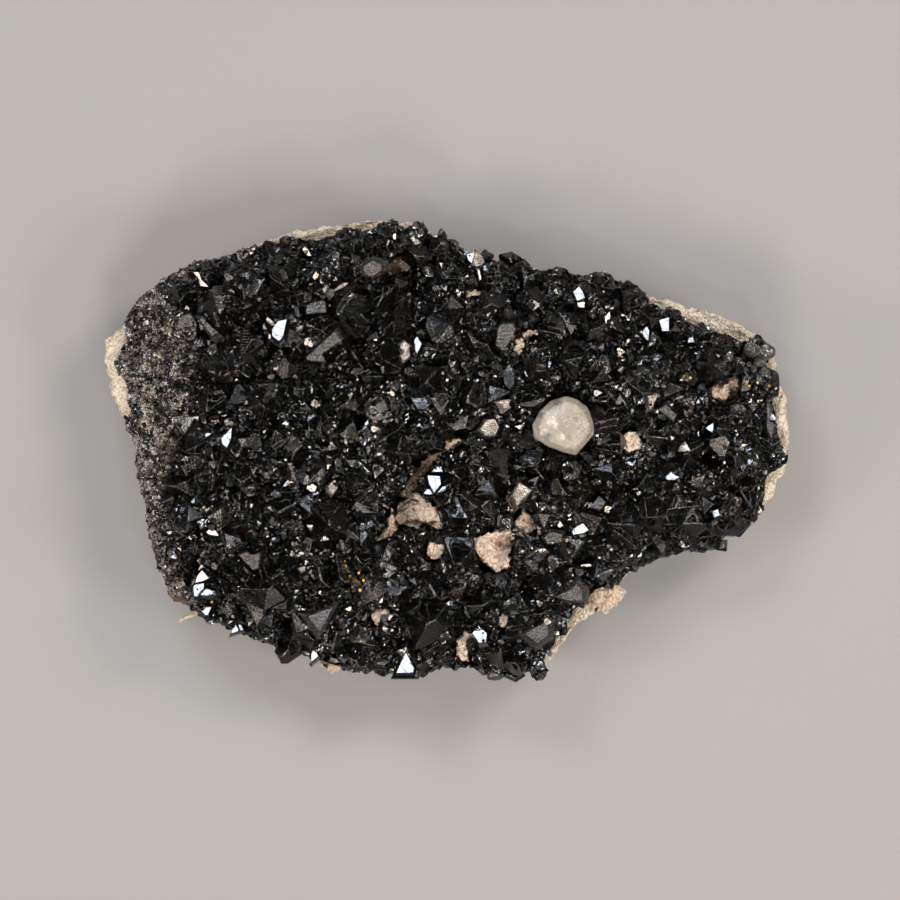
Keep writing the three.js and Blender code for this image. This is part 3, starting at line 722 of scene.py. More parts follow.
def sphalerite_finish(look):
    """Black glassy crystal faces, some frosted or brown, and dusty where the crust is fine, with painted
    highlights on the worn edges and painted sparkle.
    """
    finish = Finish("black sphalerite", look.black, IOR=look.refraction, Specular_IOR_Level=look.gloss)
    place = finish.place()
    face, hue, dust = (finish.attribute(name) for name in ("face", "hue", "dust"))
    bevel = finish.attribute("worn")
    grain = finish.attribute("grain", "Vector")
    clouds = finish.noise(place, 1.5 * MM, 3.0)
    fine = finish.noise(place, 0.42 * MM, 2.0, 0.7)
    sugar = finish.noise(place, 0.24 * MM, 2.0, 0.6)
    patches = finish.noise(place, 2.6 * MM)
    frost = face.step(0.90, 0.97)
    etched = clouds.step(0.47, 0.60)
    rough = face.step(0.45, 0.85)
    steep = finish.steepness()

    streaks = finish.bands(grain, 0.4, 3.0, 3.0, 2.0, bands_direction="Y")
    finish.coat(hue.step(0.85, 1.0), look.brown)
    finish.coat(sugar.step(0.56, 0.70), look.glimmer)
    finish.coat(hue.step(0.95, 0.98) * clouds.step(0.56, 0.64) * sugar.step(0.50, 0.60), look.amber)
    finish.coat(frost * (0.55 + 0.45 * streaks) * sugar.step(0.34, 0.62), look.frosted)
    # Painted sparkle: pale specks on the etched parts stand for tiny glints.
    finish.coat(sugar.step(0.62, 0.74) * etched * 0.7, look.painted_sparkle)
    # Painted highlight: a paler colour on the worn, bevelled edges stands for light catching them.
    finish.coat(bevel * clouds.step(0.52, 0.62) * sugar.step(0.46, 0.60), look.edge)
    crystals = finish.colour
    # The fine crust: real darker and paler grains, the paler ones bright enough to be partly a painted
    # sparkle.
    pale = face.step(0.40, 1.0) * 0.35 + patches.step(0.42, 0.60) * 0.65
    finish.colour = look.dark_dust
    finish.coat(pale * (0.12 + 0.88 * sugar.step(0.44, 0.58)), look.pale_dust_and_sparkle)
    dust_and_sparkle, finish.colour = finish.colour, crystals
    finish.coat(dust * hue.step(0.15, 0.6), dust_and_sparkle)

    lines = finish.bands(grain, 0.75, 1.5, 1.0, wave_profile="SAW")
    bent = finish.vector("ADD", place, clouds * (1.6 * MM))
    settings = {"feature": "DISTANCE_TO_EDGE", "voronoi_dimensions": "2D"}
    cracks = finish.cells(bent, 2.3 * MM, "Distance", **settings).step(0.0, 0.022)
    fields = finish.mosaic(place, 1.6 * MM) * (0.05 + 0.15 * rough)
    ribs = lines * face.step(0.20, 0.45) * 0.03 + steep * (lines * 0.07 + sugar * 0.05)
    texture = 0.024 + 0.055 * rough * etched + 0.05 * dust + 0.10 * bevel + 0.12 * steep
    calm = 0.5 + 0.5 * face.step(0.02, 0.06)
    relief = finish.bump((clouds * 0.03 + fine * texture + ribs + fields) * calm + sugar * frost * 0.09
                         + cracks * (1 - dust) * 0.022)
    roughness = 0.03 + 0.05 * rough + 0.07 * frost + 0.06 * dust + 0.05 * etched * sugar
    finish.dress(Roughness=roughness, Normal=relief)
    return finish.dulled(steep * 0.9, 0.08)


def rock_finish(look):
    """Cream granular rock, pinkish between the crystals, with dark specks, stain patches, and gaps between
    its grains darkened by painted shade and stain.
    """
    finish = Finish("pale rock", look.buff, IOR=1.55)
    place = finish.place()
    darkened, inner = finish.attribute("darkened"), finish.attribute("inner")
    broad = finish.noise(place, 9 * MM)
    patches = finish.noise(place, 5 * MM, 4.0, 0.65, 0.8)
    lumps = finish.noise(place, 1.8 * MM, 4.0, 0.6)
    grains = finish.noise(place, 0.42 * MM, 3.0, 0.7)
    cells = finish.cells(place, 0.55 * MM, "Distance")
    bright = finish.vector("DOT_PRODUCT", cells.other("Color"), (1.0, 0.0, 0.0), "Value")
    finish.coat(inner * 0.8 + broad.step(0.4, 0.7) * 0.3, look.pink)
    finish.coat(bright.step(0.25, 0.9) * 0.6 + (1 - inner) * 0.55, look.cream)
    finish.coat(patches.step(0.54, 0.72) * (1 - inner) * 0.45, look.stain_and_shade)
    # Darker between the grains and in noise spots: painted shade in the gaps, partly stain.
    finish.coat(cells.step(0.44, 0.78) * 0.5 + grains.step(0.55, 0.70) * 0.6, look.stain_and_shade)
    # Dark brown laid over the rock inside the listed outlines.
    finish.coat(darkened * (0.25 + 0.75 * lumps.step(0.35, 0.60)), look.stain_and_shade)
    finish.coat((1 - lumps).step(0.64, 0.70) * 0.8, look.speck)
    finish.coat(darkened.step(0.72, 0.92) * grains.step(0.34, 0.56), look.speck)
    relief = finish.bump(lumps * 0.25 + grains * 0.34 - cells * 0.34)
    return finish.dress(Roughness=0.55 + 0.3 * grains, Normal=relief)


def calcite_finish(look):
    """Milky calcite with clearer spots, bright healed cracks, a painted bright rim round its girdle and
    etched pits.
    """
    finish = Finish("milky calcite", look.olive, IOR=1.58, Subsurface_Weight=0.45,
                    Subsurface_Radius=(1.0, 0.92, 0.80), Subsurface_Scale=1.6 * MM)
    place = finish.place()
    clouds = finish.noise(place, 3.0 * MM, 3.0, 0.55, 0.6)
    veins = finish.noise(place, 1.1 * MM, 3.0, 0.6, 2.0)
    pits = finish.noise(place, 0.40 * MM, 3.0, 0.65)
    clear, milky = finish.attribute("clear"), finish.attribute("milky")
    etched, girdle = finish.attribute("etched"), finish.attribute("girdle")
    finish.coat(clouds.step(0.32, 0.68), look.milk)
    finish.coat(clear.step(0.0, 1.0) * veins.step(0.25, 0.55) * 0.8, look.window)
    finish.coat(milky.step(0.1, 0.8) * veins.step(0.44, 0.56), look.streak_and_rim_highlight)
    finish.coat((1 - veins).step(0.60, 0.68) * 0.6, look.streak_and_rim_highlight)
    finish.coat(veins.step(0.58, 0.68) * 0.35, look.window)
    finish.coat(pits.step(0.52, 0.64) * (0.12 + 0.80 * etched), look.pit)
    # Painted highlight: a bright band round the girdle stands for light through its translucent rim.
    finish.coat(girdle * clouds.step(0.35, 0.60) * 0.8, look.streak_and_rim_highlight)
    relief = finish.bump(clouds * 0.06 + veins * 0.05 + pits * (0.03 + 0.14 * etched))
    return finish.dress(Roughness=0.20 + 0.30 * pits, Normal=relief)


def gold_finish(look):
    """Brassy specks of sulphide."""
    finish = Finish("brassy specks", look.brass, Metallic=1.0)
    tarnish = finish.noise(finish.place(), 0.5 * MM)
    finish.coat(tarnish.step(0.4, 0.7), look.bronze)
    return finish.dress(Roughness=0.22 + 0.2 * tarnish)


def glassy_finish(look):
    """Clear grey rounded grains."""
    finish = Finish("clear grey grains", look.clear, IOR=1.55, Transmission_Weight=0.90)
    mist = finish.noise(finish.place(), 0.9 * MM, 3.0)
    finish.coat(mist.step(0.35, 0.7), look.mist)
    return finish.dress(Roughness=0.03 + 0.17 * mist)


def floor_finish(look):
    """The stage's plain floor."""
    finish = Finish("pale floor", look.floor)
    return finish.dress(Roughness=0.8 + 0.1 * finish.noise(finish.place(), 0.4))


def cut(bm, direction, distance):
    """Cuts a solid off along a plane and closes it with a flat face."""
    normal = Vector(direction).normalized()
    bmesh.ops.bisect_plane(bm, geom=bm.verts[:] + bm.edges[:] + bm.faces[:], dist=WELD,
                           plane_co=normal * distance, plane_no=normal, clear_outer=True)
    rim = [edge for edge in bm.edges if edge.is_boundary]
    if rim:
        bmesh.ops.edgeloop_fill(bm, edges=rim)


def worn_edges(bm, width):
    """Bevels all edges and marks the narrow new faces as smooth."""
    made = bmesh.ops.bevel(bm, geom=bm.edges[:], offset=width, affect="EDGES", segments=1, profile=0.5,
                           material=-1)
    for face in made["faces"]:
        face.smooth = True


def crystal_shape(random, habit, steps=0, rounding=0):
    """One crystal of radius 1 with faces of all forms: arrays as from shape_arrays.

    The broadest faces have a raised step each, and the edges may be worn.
    """
    bm = bmesh.new()
    bmesh.ops.create_cube(bm, size=2.2)
    for form, share in zip(FORMS, habit):
        for direction in form:
            tilt = Vector(direction).normalized() + Vector(random.normal(0, FACE_TILT, 3))
            cut(bm, tilt, share * random.uniform(*FACE_SHIFT))
    bmesh.ops.remove_doubles(bm, verts=bm.verts, dist=SHORTEST_EDGE)
    bmesh.ops.dissolve_degenerate(bm, dist=0.03, edges=bm.edges)
    for face in sorted(bm.faces, key=lambda face: -face.calc_area())[:steps]:
        thickness = random.uniform(*STEP_WIDTH) * math.sqrt(face.calc_area())
        bmesh.ops.inset_individual(bm, faces=[face], thickness=thickness, depth=STEP_HEIGHT)
    if rounding:
        worn_edges(bm, rounding)
    bmesh.ops.recalc_face_normals(bm, faces=bm.faces)
    return shape_arrays(bm)


def shape_arrays(bm):
    """A bmesh as arrays: corners, those of every face in turn, each face's first, and its wear."""
    bm.verts.index_update()
    corners = np.array([vertex.co[:] for vertex in bm.verts])
    rings = [[vertex.index for vertex in face.verts] for face in bm.faces]
    starts = np.cumsum([0] + [len(ring) for ring in rings[:-1]])
    worn = np.array([face.smooth for face in bm.faces], dtype=float)
    bm.free()
    return corners, np.concatenate(rings), starts, worn


def twinned(random, shape):
    """A crystal with a smaller one grown through it, in its own setting or turned as a twin."""
    corners, ring, starts, worn = shape
    turn = random.choice(TWIN_TURNS) + random.normal(0, TWIN_SPREAD)
    axis = Vector((1, 1, 1)) + Vector(random.normal(0, 0.1, 3))
    turned = np.array(Matrix.Rotation(math.radians(turn), 3, axis))
    aside = random.normal(0, TWIN_SHIFT, 3)
    second = corners @ turned.T * random.uniform(*TWIN_SIZES) + aside
    return (np.vstack([corners, second]), np.concatenate([ring, ring + len(corners)]),
            np.concatenate([starts, starts + len(ring)]), np.concatenate([worn, worn]))


def turns(random, count):
    """Random rotations, evenly spread."""
    x, y, z, w = random.normal(size=(count, 4)).T
    length = np.sqrt(x * x + y * y + z * z + w * w)
    x, y, z, w = x / length, y / length, z / length, w / length
    rows = [[1 - 2 * (y * y + z * z), 2 * (x * y - z * w), 2 * (x * z + y * w)],
            [2 * (x * y + z * w), 1 - 2 * (x * x + z * z), 2 * (y * z - x * w)],
            [2 * (x * z - y * w), 2 * (y * z + x * w), 1 - 2 * (x * x + y * y)]]
    return np.moveaxis(np.array(rows), 2, 0)


def grown_together(random, shapes, kinds, frames, places, dust):
    """One mesh of many crystals: each has a shape, a turn with its size, a place and its dust."""
    corners, grains, rings, starts = [], [], [], []
    notes = {"face": [], "hue": [], "dust": [], "worn": []}
    corner_count = ring_count = 0
    for kind, (shape, ring, start, worn) in enumerate(shapes):
        chosen = np.flatnonzero(kinds == kind)
        if not len(chosen):
            continue
        placed = np.einsum("kij,nj->kni", frames[chosen], shape) + places[chosen][:, None, :]
        corners.append(placed.reshape(-1, 3))
        sizes = np.cbrt(np.abs(np.linalg.det(frames[chosen])))
        grains.append((shape[None, :, :] * sizes[:, None, None] / MM).reshape(-1, 3))
        first = corner_count + np.arange(len(chosen)) * len(shape)
        rings.append((ring[None, :] + first[:, None]).ravel())
        first = ring_count + np.arange(len(chosen)) * len(ring)
        starts.append((start[None, :] + first[:, None]).ravel())
        corner_count += len(chosen) * len(shape)
        ring_count += len(chosen) * len(ring)
        notes["face"].append(random.random((len(chosen), len(start))).ravel())
        notes["hue"].append(np.repeat(random.random(len(chosen)), len(start)))
        notes["dust"].append(np.repeat(dust[chosen], len(start)))
        notes["worn"].append(np.tile(worn, len(chosen)))
    mesh = bpy.data.meshes.new("crystals")
    corners, rings, starts = np.concatenate(corners), np.concatenate(rings), np.concatenate(starts)
    mesh.vertices.add(len(corners))
    mesh.vertices.foreach_set("co", corners.astype(np.float32).ravel())
    mesh.loops.add(len(rings))
    mesh.loops.foreach_set("vertex_index", rings.astype(np.int32))
    mesh.polygons.add(len(starts))
    mesh.polygons.foreach_set("loop_start", starts.astype(np.int32))
    mesh.update(calc_edges=True)
    mesh.shade_flat()
    for name, values in notes.items():
        note(mesh, name, np.concatenate(values), "FACE")
    note_grain(mesh, np.concatenate(grains))
    return mesh


def soft_edges(crystals):
    """Rounds the light over bevelled edges, while the broad faces stay flat."""
    crystals.data.shade_smooth()
    crystals.modifiers.new("edges", "WEIGHTED_NORMAL")


class Growth:
    """The crust's surface, and the crystals that already stand on it."""

    def __init__(self):
        self.random = np.random.default_rng(SEED)
        self.level = evened(merged_copy("sphalerite_crust"), 1.1 * MM, 10)
        self.tree = tree_of(self.level)
        self.rock = tree_of(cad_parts["matrix"].data)
        self.clear()

    def clear(self):
        """Forgets the crystals, so that smaller ones may touch them."""
        self.places = np.zeros((0, 3))
        self.radii = np.zeros(0)

    def top(self, right, down):
        """The crust's general surface on a line of sight."""
        found = seen_on(self.tree, right, down)
        return found if found is not None else seen_at(right, down, EDGE_HEIGHT)

    def spots(self, count, dusty=False):
        """Random spots on the open surface of the crust, or of its dusty part, and their facing."""
        triangles = corners_of(self.level)[triangles_of(self.level)]
        a, b, c = triangles.transpose(1, 0, 2)
        across = np.cross(b - a, c - a)
        areas = np.linalg.norm(across, axis=1)
        likely = areas * (fineness(as_seen(a)) > DUSTY) if dusty else areas
        chosen = self.random.choice(len(areas), size=count, p=likely / likely.sum())
        u, v = self.random.random(count), self.random.random(count)
        u, v = np.where(u + v > 1, 1 - u, u), np.where(u + v > 1, 1 - v, v)
        places = a[chosen] + (b - a)[chosen] * u[:, None] + (c - a)[chosen] * v[:, None]
        facing = across[chosen] / areas[chosen][:, None]
        open_air = np.array([self.is_open(place, normal) for place, normal in zip(places, facing)])
        return places[open_air], facing[open_air]

    def is_open(self, place, normal):
        """Whether a crystal could grow from a spot."""
        if normal[2] < OVERHANG or place[2] < LOWEST_SPOT:
            return False
        start = Vector(place + normal * 0.1 * MM)
        return (self.rock.ray_cast(start, Vector(normal), ROOM_AHEAD)[0] is None
                and self.rock.find_nearest(start, ROOM_BESIDE)[0] is None)

    def clear_of_rock(self, places, radii):
        """Whether crystals keep off the bare rock and the calcite."""
        seen = as_seen(places)
        above = places[:, 2] > HIDING_HEIGHT
        reach = np.where(radii > BROAD_RADIUS, BROAD_GAP, NARROW_GAP) * radii
        result = np.ones(len(places), dtype=bool)
        for _, outline in BARE_ROCK:
            result &= (edge_distance(outline, seen) * SEEN > reach) | ~above
        return result & (gap_to(seen, CALCITE_PLACE) * SEEN > CALCITE_ROOM + CALCITE_GAP * radii)

    def settle(self, places, facing, radii, closeness):
        """Keeps the crystals that find room among those before them."""
        kept = []
        count = len(self.radii)
        room = np.vstack([self.places, np.zeros((len(places), 3))])
        sizes = np.append(self.radii, np.zeros(len(places)))
        for index in np.flatnonzero(self.clear_of_rock(places, radii)):
            near = ((room[:count] - places[index]) ** 2).sum(1)
            if np.any(near < ((sizes[:count] + radii[index]) * closeness) ** 2):
                continue
            room[count], sizes[count] = places[index], radii[index]
            kept.append(index)
            count += 1
        self.places, self.radii = room[:count].copy(), sizes[:count].copy()
        return places[kept], facing[kept], radii[kept]

    def keep_free(self, place, radius):
        """Keeps other crystals away from a place."""
        self.places = np.vstack([self.places, [place]])
        self.radii = np.append(self.radii, radius)

    def drawn_in(self, centres, facing, radii):
        """Moves crystals in from the rim until little more than RIM_REACH of their radius stands out.

        Also says which of them then stand in the crust and outside the rock.
        """
        compass = [Vector((math.cos(turn), math.sin(turn), 0.0)) for turn in np.arange(8) * math.pi / 4]
        moved, inside = centres.copy(), np.ones(len(centres), dtype=bool)
        for index, (centre, normal, radius) in enumerate(zip(centres, facing, radii)):
            start = Vector(centre - normal * ROOT_DEPTH * radius)
            nearest, outward = self.tree.find_nearest(start)[:2]
            if (start - nearest).dot(outward) > 0:
                moved[index] += np.array(nearest - start - outward * ROOT_COVER * radius)
                start = nearest - outward * ROOT_COVER * radius
            shift = Vector()
            for direction in compass:
                _, outward, _, distance = self.tree.ray_cast(start, direction, RIM_REACH * radius)
                if distance is not None and outward.dot(direction) > 0:
                    shift -= direction * (RIM_REACH * radius - distance)
            if shift.length > radius:
                shift *= radius / shift.length
            moved[index] += np.array(shift)
            start += shift
            nearest, outward = self.tree.find_nearest(start)[:2]
            inside[index] = (start - nearest).dot(outward) < 0
            middle = Vector(moved[index])
            nearest, outward = self.rock.find_nearest(middle)[:2]
            inside[index] &= (middle - nearest).dot(outward) > 0
        return moved, inside

    def glare(self, shapes, kinds, frames, centres):
        """How much face area of each crystal mirrors a bright lamp at the eye."""
        result = np.zeros(len(kinds))
        for kind, (corners, ring, starts, _) in enumerate(shapes):
            chosen = np.flatnonzero(kinds == kind)
            if not len(chosen):
                continue
            following = np.arange(1, len(ring) + 1)
            following[np.append(starts[1:], len(ring)) - 1] = starts
            spans = np.add.reduceat(np.cross(corners[ring], corners[ring[following]]), starts) / 2
            turned = np.linalg.inv(frames[chosen]).transpose(0, 2, 1)
            turned *= np.linalg.det(frames[chosen])[:, None, None]
            spans = np.einsum("nij,fj->nfi", turned, spans)
            areas = np.linalg.norm(spans, axis=2)
            normals = spans / areas[:, :, None].clip(1e-12)
            sight = np.array(EYE) - centres[chosen]
            sight /= np.linalg.norm(sight, axis=1)[:, None]
            cosines = np.einsum("nfi,ni->nf", normals, sight)
            mirrored = 2 * cosines[:, :, None] * normals - sight[:, None, :]
            for lamp in BRIGHT_LAMPS:
                toward = np.array(lamp_place(lamp)) - centres[chosen]
                toward /= np.linalg.norm(toward, axis=1)[:, None]
                lit = np.einsum("nfi,ni->nf", mirrored, toward) > LAMP_REACH
                result[chosen] += (areas * lit * (cosines > 0)).sum(1)
        return result

    def frames(self, radii):
        """Turns of the crystals with their sizes in them."""
        stretch = 1 + self.random.normal(0, 0.18, (len(radii), 3)).clip(-0.3, 0.3)
        return turns(self.random, len(radii)) * stretch[:, None, :] * radii[:, None, None]

    def turned_away(self, shapes, kinds, radii, centres, tries):
        """Of several random turns of each crystal, the one with the least glare."""
        best = self.frames(radii)
        least = self.glare(shapes, kinds, best, centres)
        for _ in range(tries):
            other = self.frames(radii)
            glare = self.glare(shapes, kinds, other, centres)
            better = glare < least
            best[better], least[better] = other[better], glare[better]
        return best

    def shapes(self, count, steps=0, rounding=0, twins=0):
        """Several different crystals, the first of them twinned."""
        made = [crystal_shape(self.random, HABITS[k % len(HABITS)], steps, rounding) for k in range(count)]
        return [twinned(self.random, shape) if k < twins else shape for k, shape in enumerate(made)]

    def landed(self, tree, places, facing, on_top):
        """Drops spots on what has grown; on top of a crystal only a share of them is kept."""
        kept, landing = [], []
        luck = self.random.random(len(places))
        for index, (place, normal) in enumerate(zip(places, facing)):
            start = Vector(place + normal * DROP_HEIGHT * MM)
            hit = tree.ray_cast(start, Vector(-normal), DROP_REACH * MM)[0]
            if hit is None:
                continue
            proud = (np.array(hit) - place) @ normal
            if proud < ON_TOP_HEIGHT * MM or luck[index] < on_top:
                kept.append(index)
                landing.append(hit)
        return np.array(landing), facing[kept]


growth = Growth()


def tint(name, description, *colour):
    """A colour among the values of a look."""
    return FloatVectorProperty(name=name, description=description, subtype="COLOR", default=colour)


class CrustLook(bpy.types.PropertyGroup):
    middling: FloatProperty(name="Middling crystals", description="Radius of a middling crystal",
                            default=2.35 * MM, unit="LENGTH")
    small: FloatProperty(name="Small crystals", description="Radius of a small crystal",
                         default=1.0 * MM, unit="LENGTH")
    fine: FloatProperty(name="Fine crystals", description="Radius of the crystals in the gaps",
                        default=0.48 * MM, unit="LENGTH")
    refraction: FloatProperty(name="Refraction", description="Refractive index of sphalerite", default=2.37)
    gloss: FloatProperty(name="Gloss", description="Strength of its reflections", default=0.28)
    black: tint("Black", "Colour of most crystals", 0.0004, 0.0004, 0.0003)
    brown: tint("Brown", "Colour of the clearest crystals", 0.005, 0.003, 0.002)
    amber: tint("Amber", "Colour of light that has passed through", 0.09, 0.030, 0.008)
    frosted: tint("Frosted", "Colour of etched faces", 0.06, 0.058, 0.055)
    # Fleck: painted sparkle on the etched parts.
    painted_sparkle: tint("Fleck", "Colour of light flecks inside", 0.12, 0.105, 0.085)
    # Edge: a painted highlight along the worn edges.
    edge: tint("Edge", "Colour of the worn edges", 0.15, 0.14, 0.115)
    glimmer: tint("Glimmer", "Colour of the faint grain of its faces", 0.020, 0.020, 0.018)
    dark_dust: tint("Dark dust", "Darker grains of the fine crust", 0.018, 0.015, 0.012)
    # Pale dust: paler grains of the fine crust, partly a painted sparkle.
    pale_dust_and_sparkle: tint("Pale dust", "Paler grains of the fine crust", 1.0, 0.89, 0.78)


class RockLook(bpy.types.PropertyGroup):
    buff: tint("Buff", "Colour of most of the rock", 0.92, 0.76, 0.56)
    pink: tint("Pink", "Colour of its pinkish parts", 0.98, 0.77, 0.63)
    cream: tint("Cream", "Colour of its pale grains", 1.0, 0.92, 0.78)
    # Stain: real stain patches, and also painted shade in the gaps between grains.
    stain_and_shade: tint("Stain", "Colour of its stained hollows", 0.30, 0.19, 0.11)
    speck: tint("Speck", "Colour of dark grains in it", 0.05, 0.04, 0.03)


class GuestLook(bpy.types.PropertyGroup):
    milk: tint("Milk", "Colour of the cloudy calcite", 0.49, 0.44, 0.375)
    olive: tint("Olive", "Colour of the clearer calcite", 0.375, 0.335, 0.28)
    window: tint("Window", "Colour of its clear spots", 0.15, 0.16, 0.17)
    pit: tint("Pit", "Colour of its etched pits", 0.20, 0.145, 0.09)
    # Streak: healed cracks, and the painted bright rim round the girdle.
    streak_and_rim_highlight: tint("Streak", "Colour of healed cracks in it", 0.78, 0.74, 0.68)
    brass: tint("Brass", "Colour of the metallic specks", 0.80, 0.52, 0.16)
    bronze: tint("Bronze", "Colour of tarnished specks", 0.45, 0.24, 0.07)
    clear: tint("Clear", "Colour of the clear grains", 0.72, 0.72, 0.69)
    mist: tint("Mist", "Colour of cloudy parts in them", 0.38, 0.37, 0.35)


class StageLook(bpy.types.PropertyGroup):
    floor: tint("Floor", "Colour of the floor", 0.36, 0.365, 0.37)
    brightness: FloatProperty(name="Brightness", description="Strength of all the lamps", default=1.4)
    dimness: FloatProperty(name="Dimness", description="Brightness of the dark room round the lamps",
                           default=0.012)


class SPECIMEN_OT_rock(bpy.types.Operator):
    """Build the pale rock: the plate with its broken rim, and its lumps between the crystals"""

    bl_idname = "specimen.rock"
    bl_label = "Rock"

    def execute(self, context):
        finish = rock_finish(context.scene.rock_look)
        self.finished("rock_plate", self.plate(), finish, 0.0, ["matrix"])
        self.finished("rock_lumps", self.lumps(), finish, 1.0)
        self.finished("rock_sliver", self.sliver(), finish, 0.0)
        return {"FINISHED"}

    def plate(self):
        """The plate, with a broken rim and a bed for each lump."""
        mesh = evened(merged_copy("matrix"), 0.62 * MM, 2)
        roughened(mesh, [(3.4, 0.8), (1.6, 0.5)], 1)
        grained(mesh, 1.3 * MM, 0.45)
        corners = thinned_sliver(corners_of(mesh))
        for place, reach, shift in RIM_SHIFTS:
            push = (1 - gap_to(as_seen(corners), place) / reach).clip(0, 1)[:, None] ** 0.5
            corners[:, :2] += push * np.array(shift) * MM
        seen = as_seen(corners)
        for depth, outline in BARE_ROCK:
            _, level = self.tops(outline)
            bed = level - (depth + (RIM_BED_DEPTH if self.at_rim(outline) else BED_DEPTH)) * MM
            lowered = (edge_distance(outline, seen) < BED_MARGIN) & (corners[:, 2] > bed)
            corners[lowered, 2] = bed
        corners[:, 2] = corners[:, 2].clip(0)
        set_corners(mesh, corners)
        return mesh

    def tops(self, outline):
        """Heights of the crust at an outline's corners, and their mean."""
        tops = [growth.top(*corner).z for corner in outline]
        return tops, sum(tops) / len(tops)

    def at_rim(self, outline):
        """Whether a widened outline reaches past the specimen."""
        middle = np.mean(outline, axis=0)
        around = middle + 1.8 * (np.array(outline) - middle)
        return sum(seen_on(growth.tree, *place) is None and seen_on(growth.rock, *place) is None
                   for place in around) > 1

    def lumps(self):
        """Lumps of rock that show between the crystals."""
        bm = bmesh.new()
        for depth, outline in BARE_ROCK:
            tops, level = self.tops(outline)
            corners = [bm.verts.new(seen_at(*seen, 0.5 * (top + level) - depth * MM))
                       for seen, top in zip(outline, tops)]
            sunk = bmesh.ops.extrude_face_region(bm, geom=[bm.faces.new(corners)])["geom"]
            lower = [item for item in sunk if isinstance(item, bmesh.types.BMVert)]
            bmesh.ops.translate(bm, verts=lower, vec=(0, 0, -LUMP_HEIGHT))
        bmesh.ops.recalc_face_normals(bm, faces=bm.faces)
        mesh = evened(bm, 0.25 * MM, 1)
        roughened(mesh, [(2.6, 0.8), (1.2, 0.7), (0.6, 0.5)], 4)
        grained(mesh, 0.6 * MM, 0.55)
        return mesh

    def sliver(self):
        """The pale splinter that sticks out at the edge."""
        tip, root = SLIVER
        bm = bmesh.new()
        lean = (root - tip).to_track_quat("Z", "Y").to_matrix().to_4x4()
        setting = Matrix.Translation((tip + root) / 2) @ lean
        bmesh.ops.create_cone(bm, cap_ends=True, segments=14, radius1=SLIVER_RADII[0],
                              radius2=SLIVER_RADII[1], depth=(root - tip).length, matrix=setting)
        long_edges = [edge for edge in bm.edges if edge.calc_length() > 2 * MM]
        bmesh.ops.subdivide_edges(bm, edges=long_edges, cuts=30)
        mesh = mesh_of(bm, "rock sliver")
        roughened(mesh, [(1.5, 0.25), (0.5, 0.08)], 7)
        return mesh

    def finished(self, name, mesh, finish, inner, replaced=()):
        """Makes a piece and notes whether it lies between the crystals, and how much dark brown lies over
        it.
        """
        mesh.shade_smooth()
        seen = as_seen(corners_of(mesh))
        darkened = np.zeros(len(seen))
        for amount, outline in DARKENED_ROCK:
            darkened = np.maximum(darkened, amount * (1 - edge_distance(outline, seen) / 4).clip(0, 1))
        note(mesh, "darkened", darkened)
        note(mesh, "inner", np.full(len(seen), inner))
        piece(name, mesh, finish, replaced)


class SPECIMEN_OT_crust(bpy.types.Operator):
    """Build the crust that the crystals stand on"""

    bl_idname = "specimen.crust"
    bl_label = "Crust"

    def execute(self, context):
        mesh = growth.level.copy()
        corners, upward = corners_of(mesh), normals_of(mesh)[:, 2]
        seen = as_seen(corners)
        level = upward > LEVEL
        corners[:, 2] -= GROUND_DEPTH * MM * upward.clip(0, 1)
        for depth, outline in BARE_ROCK:
            near = (1.5 - edge_distance(outline, seen) / 4).clip(0, 1)
            corners[:, 2] -= near * (max(depth, 0) + ROCK_HOLLOW) * MM * level
        near = ((CALCITE_ROOM / SEEN - gap_to(seen, CALCITE_PLACE)) / 8).clip(0, 1)
        corners[:, 2] -= near * CALCITE_HOLLOW * MM * level
        set_corners(mesh, corners)
        roughened(mesh, [(2.2, 0.5), (1.3, 0.5)], 2)
        mesh.shade_flat()
        random = np.random.default_rng(SEED + 1)
        for name in ("face", "hue"):
            note(mesh, name, random.random(len(mesh.polygons)) * 0.5, "FACE")
        note(mesh, "dust", fineness(as_seen(values_of(mesh.polygons, "center"))), "FACE")
        note_grain(mesh, corners_of(mesh) / MM)
        finish = sphalerite_finish(context.scene.crust_look)
        piece("crust_ground", mesh, finish, ["sphalerite_crust"])
        return {"FINISHED"}


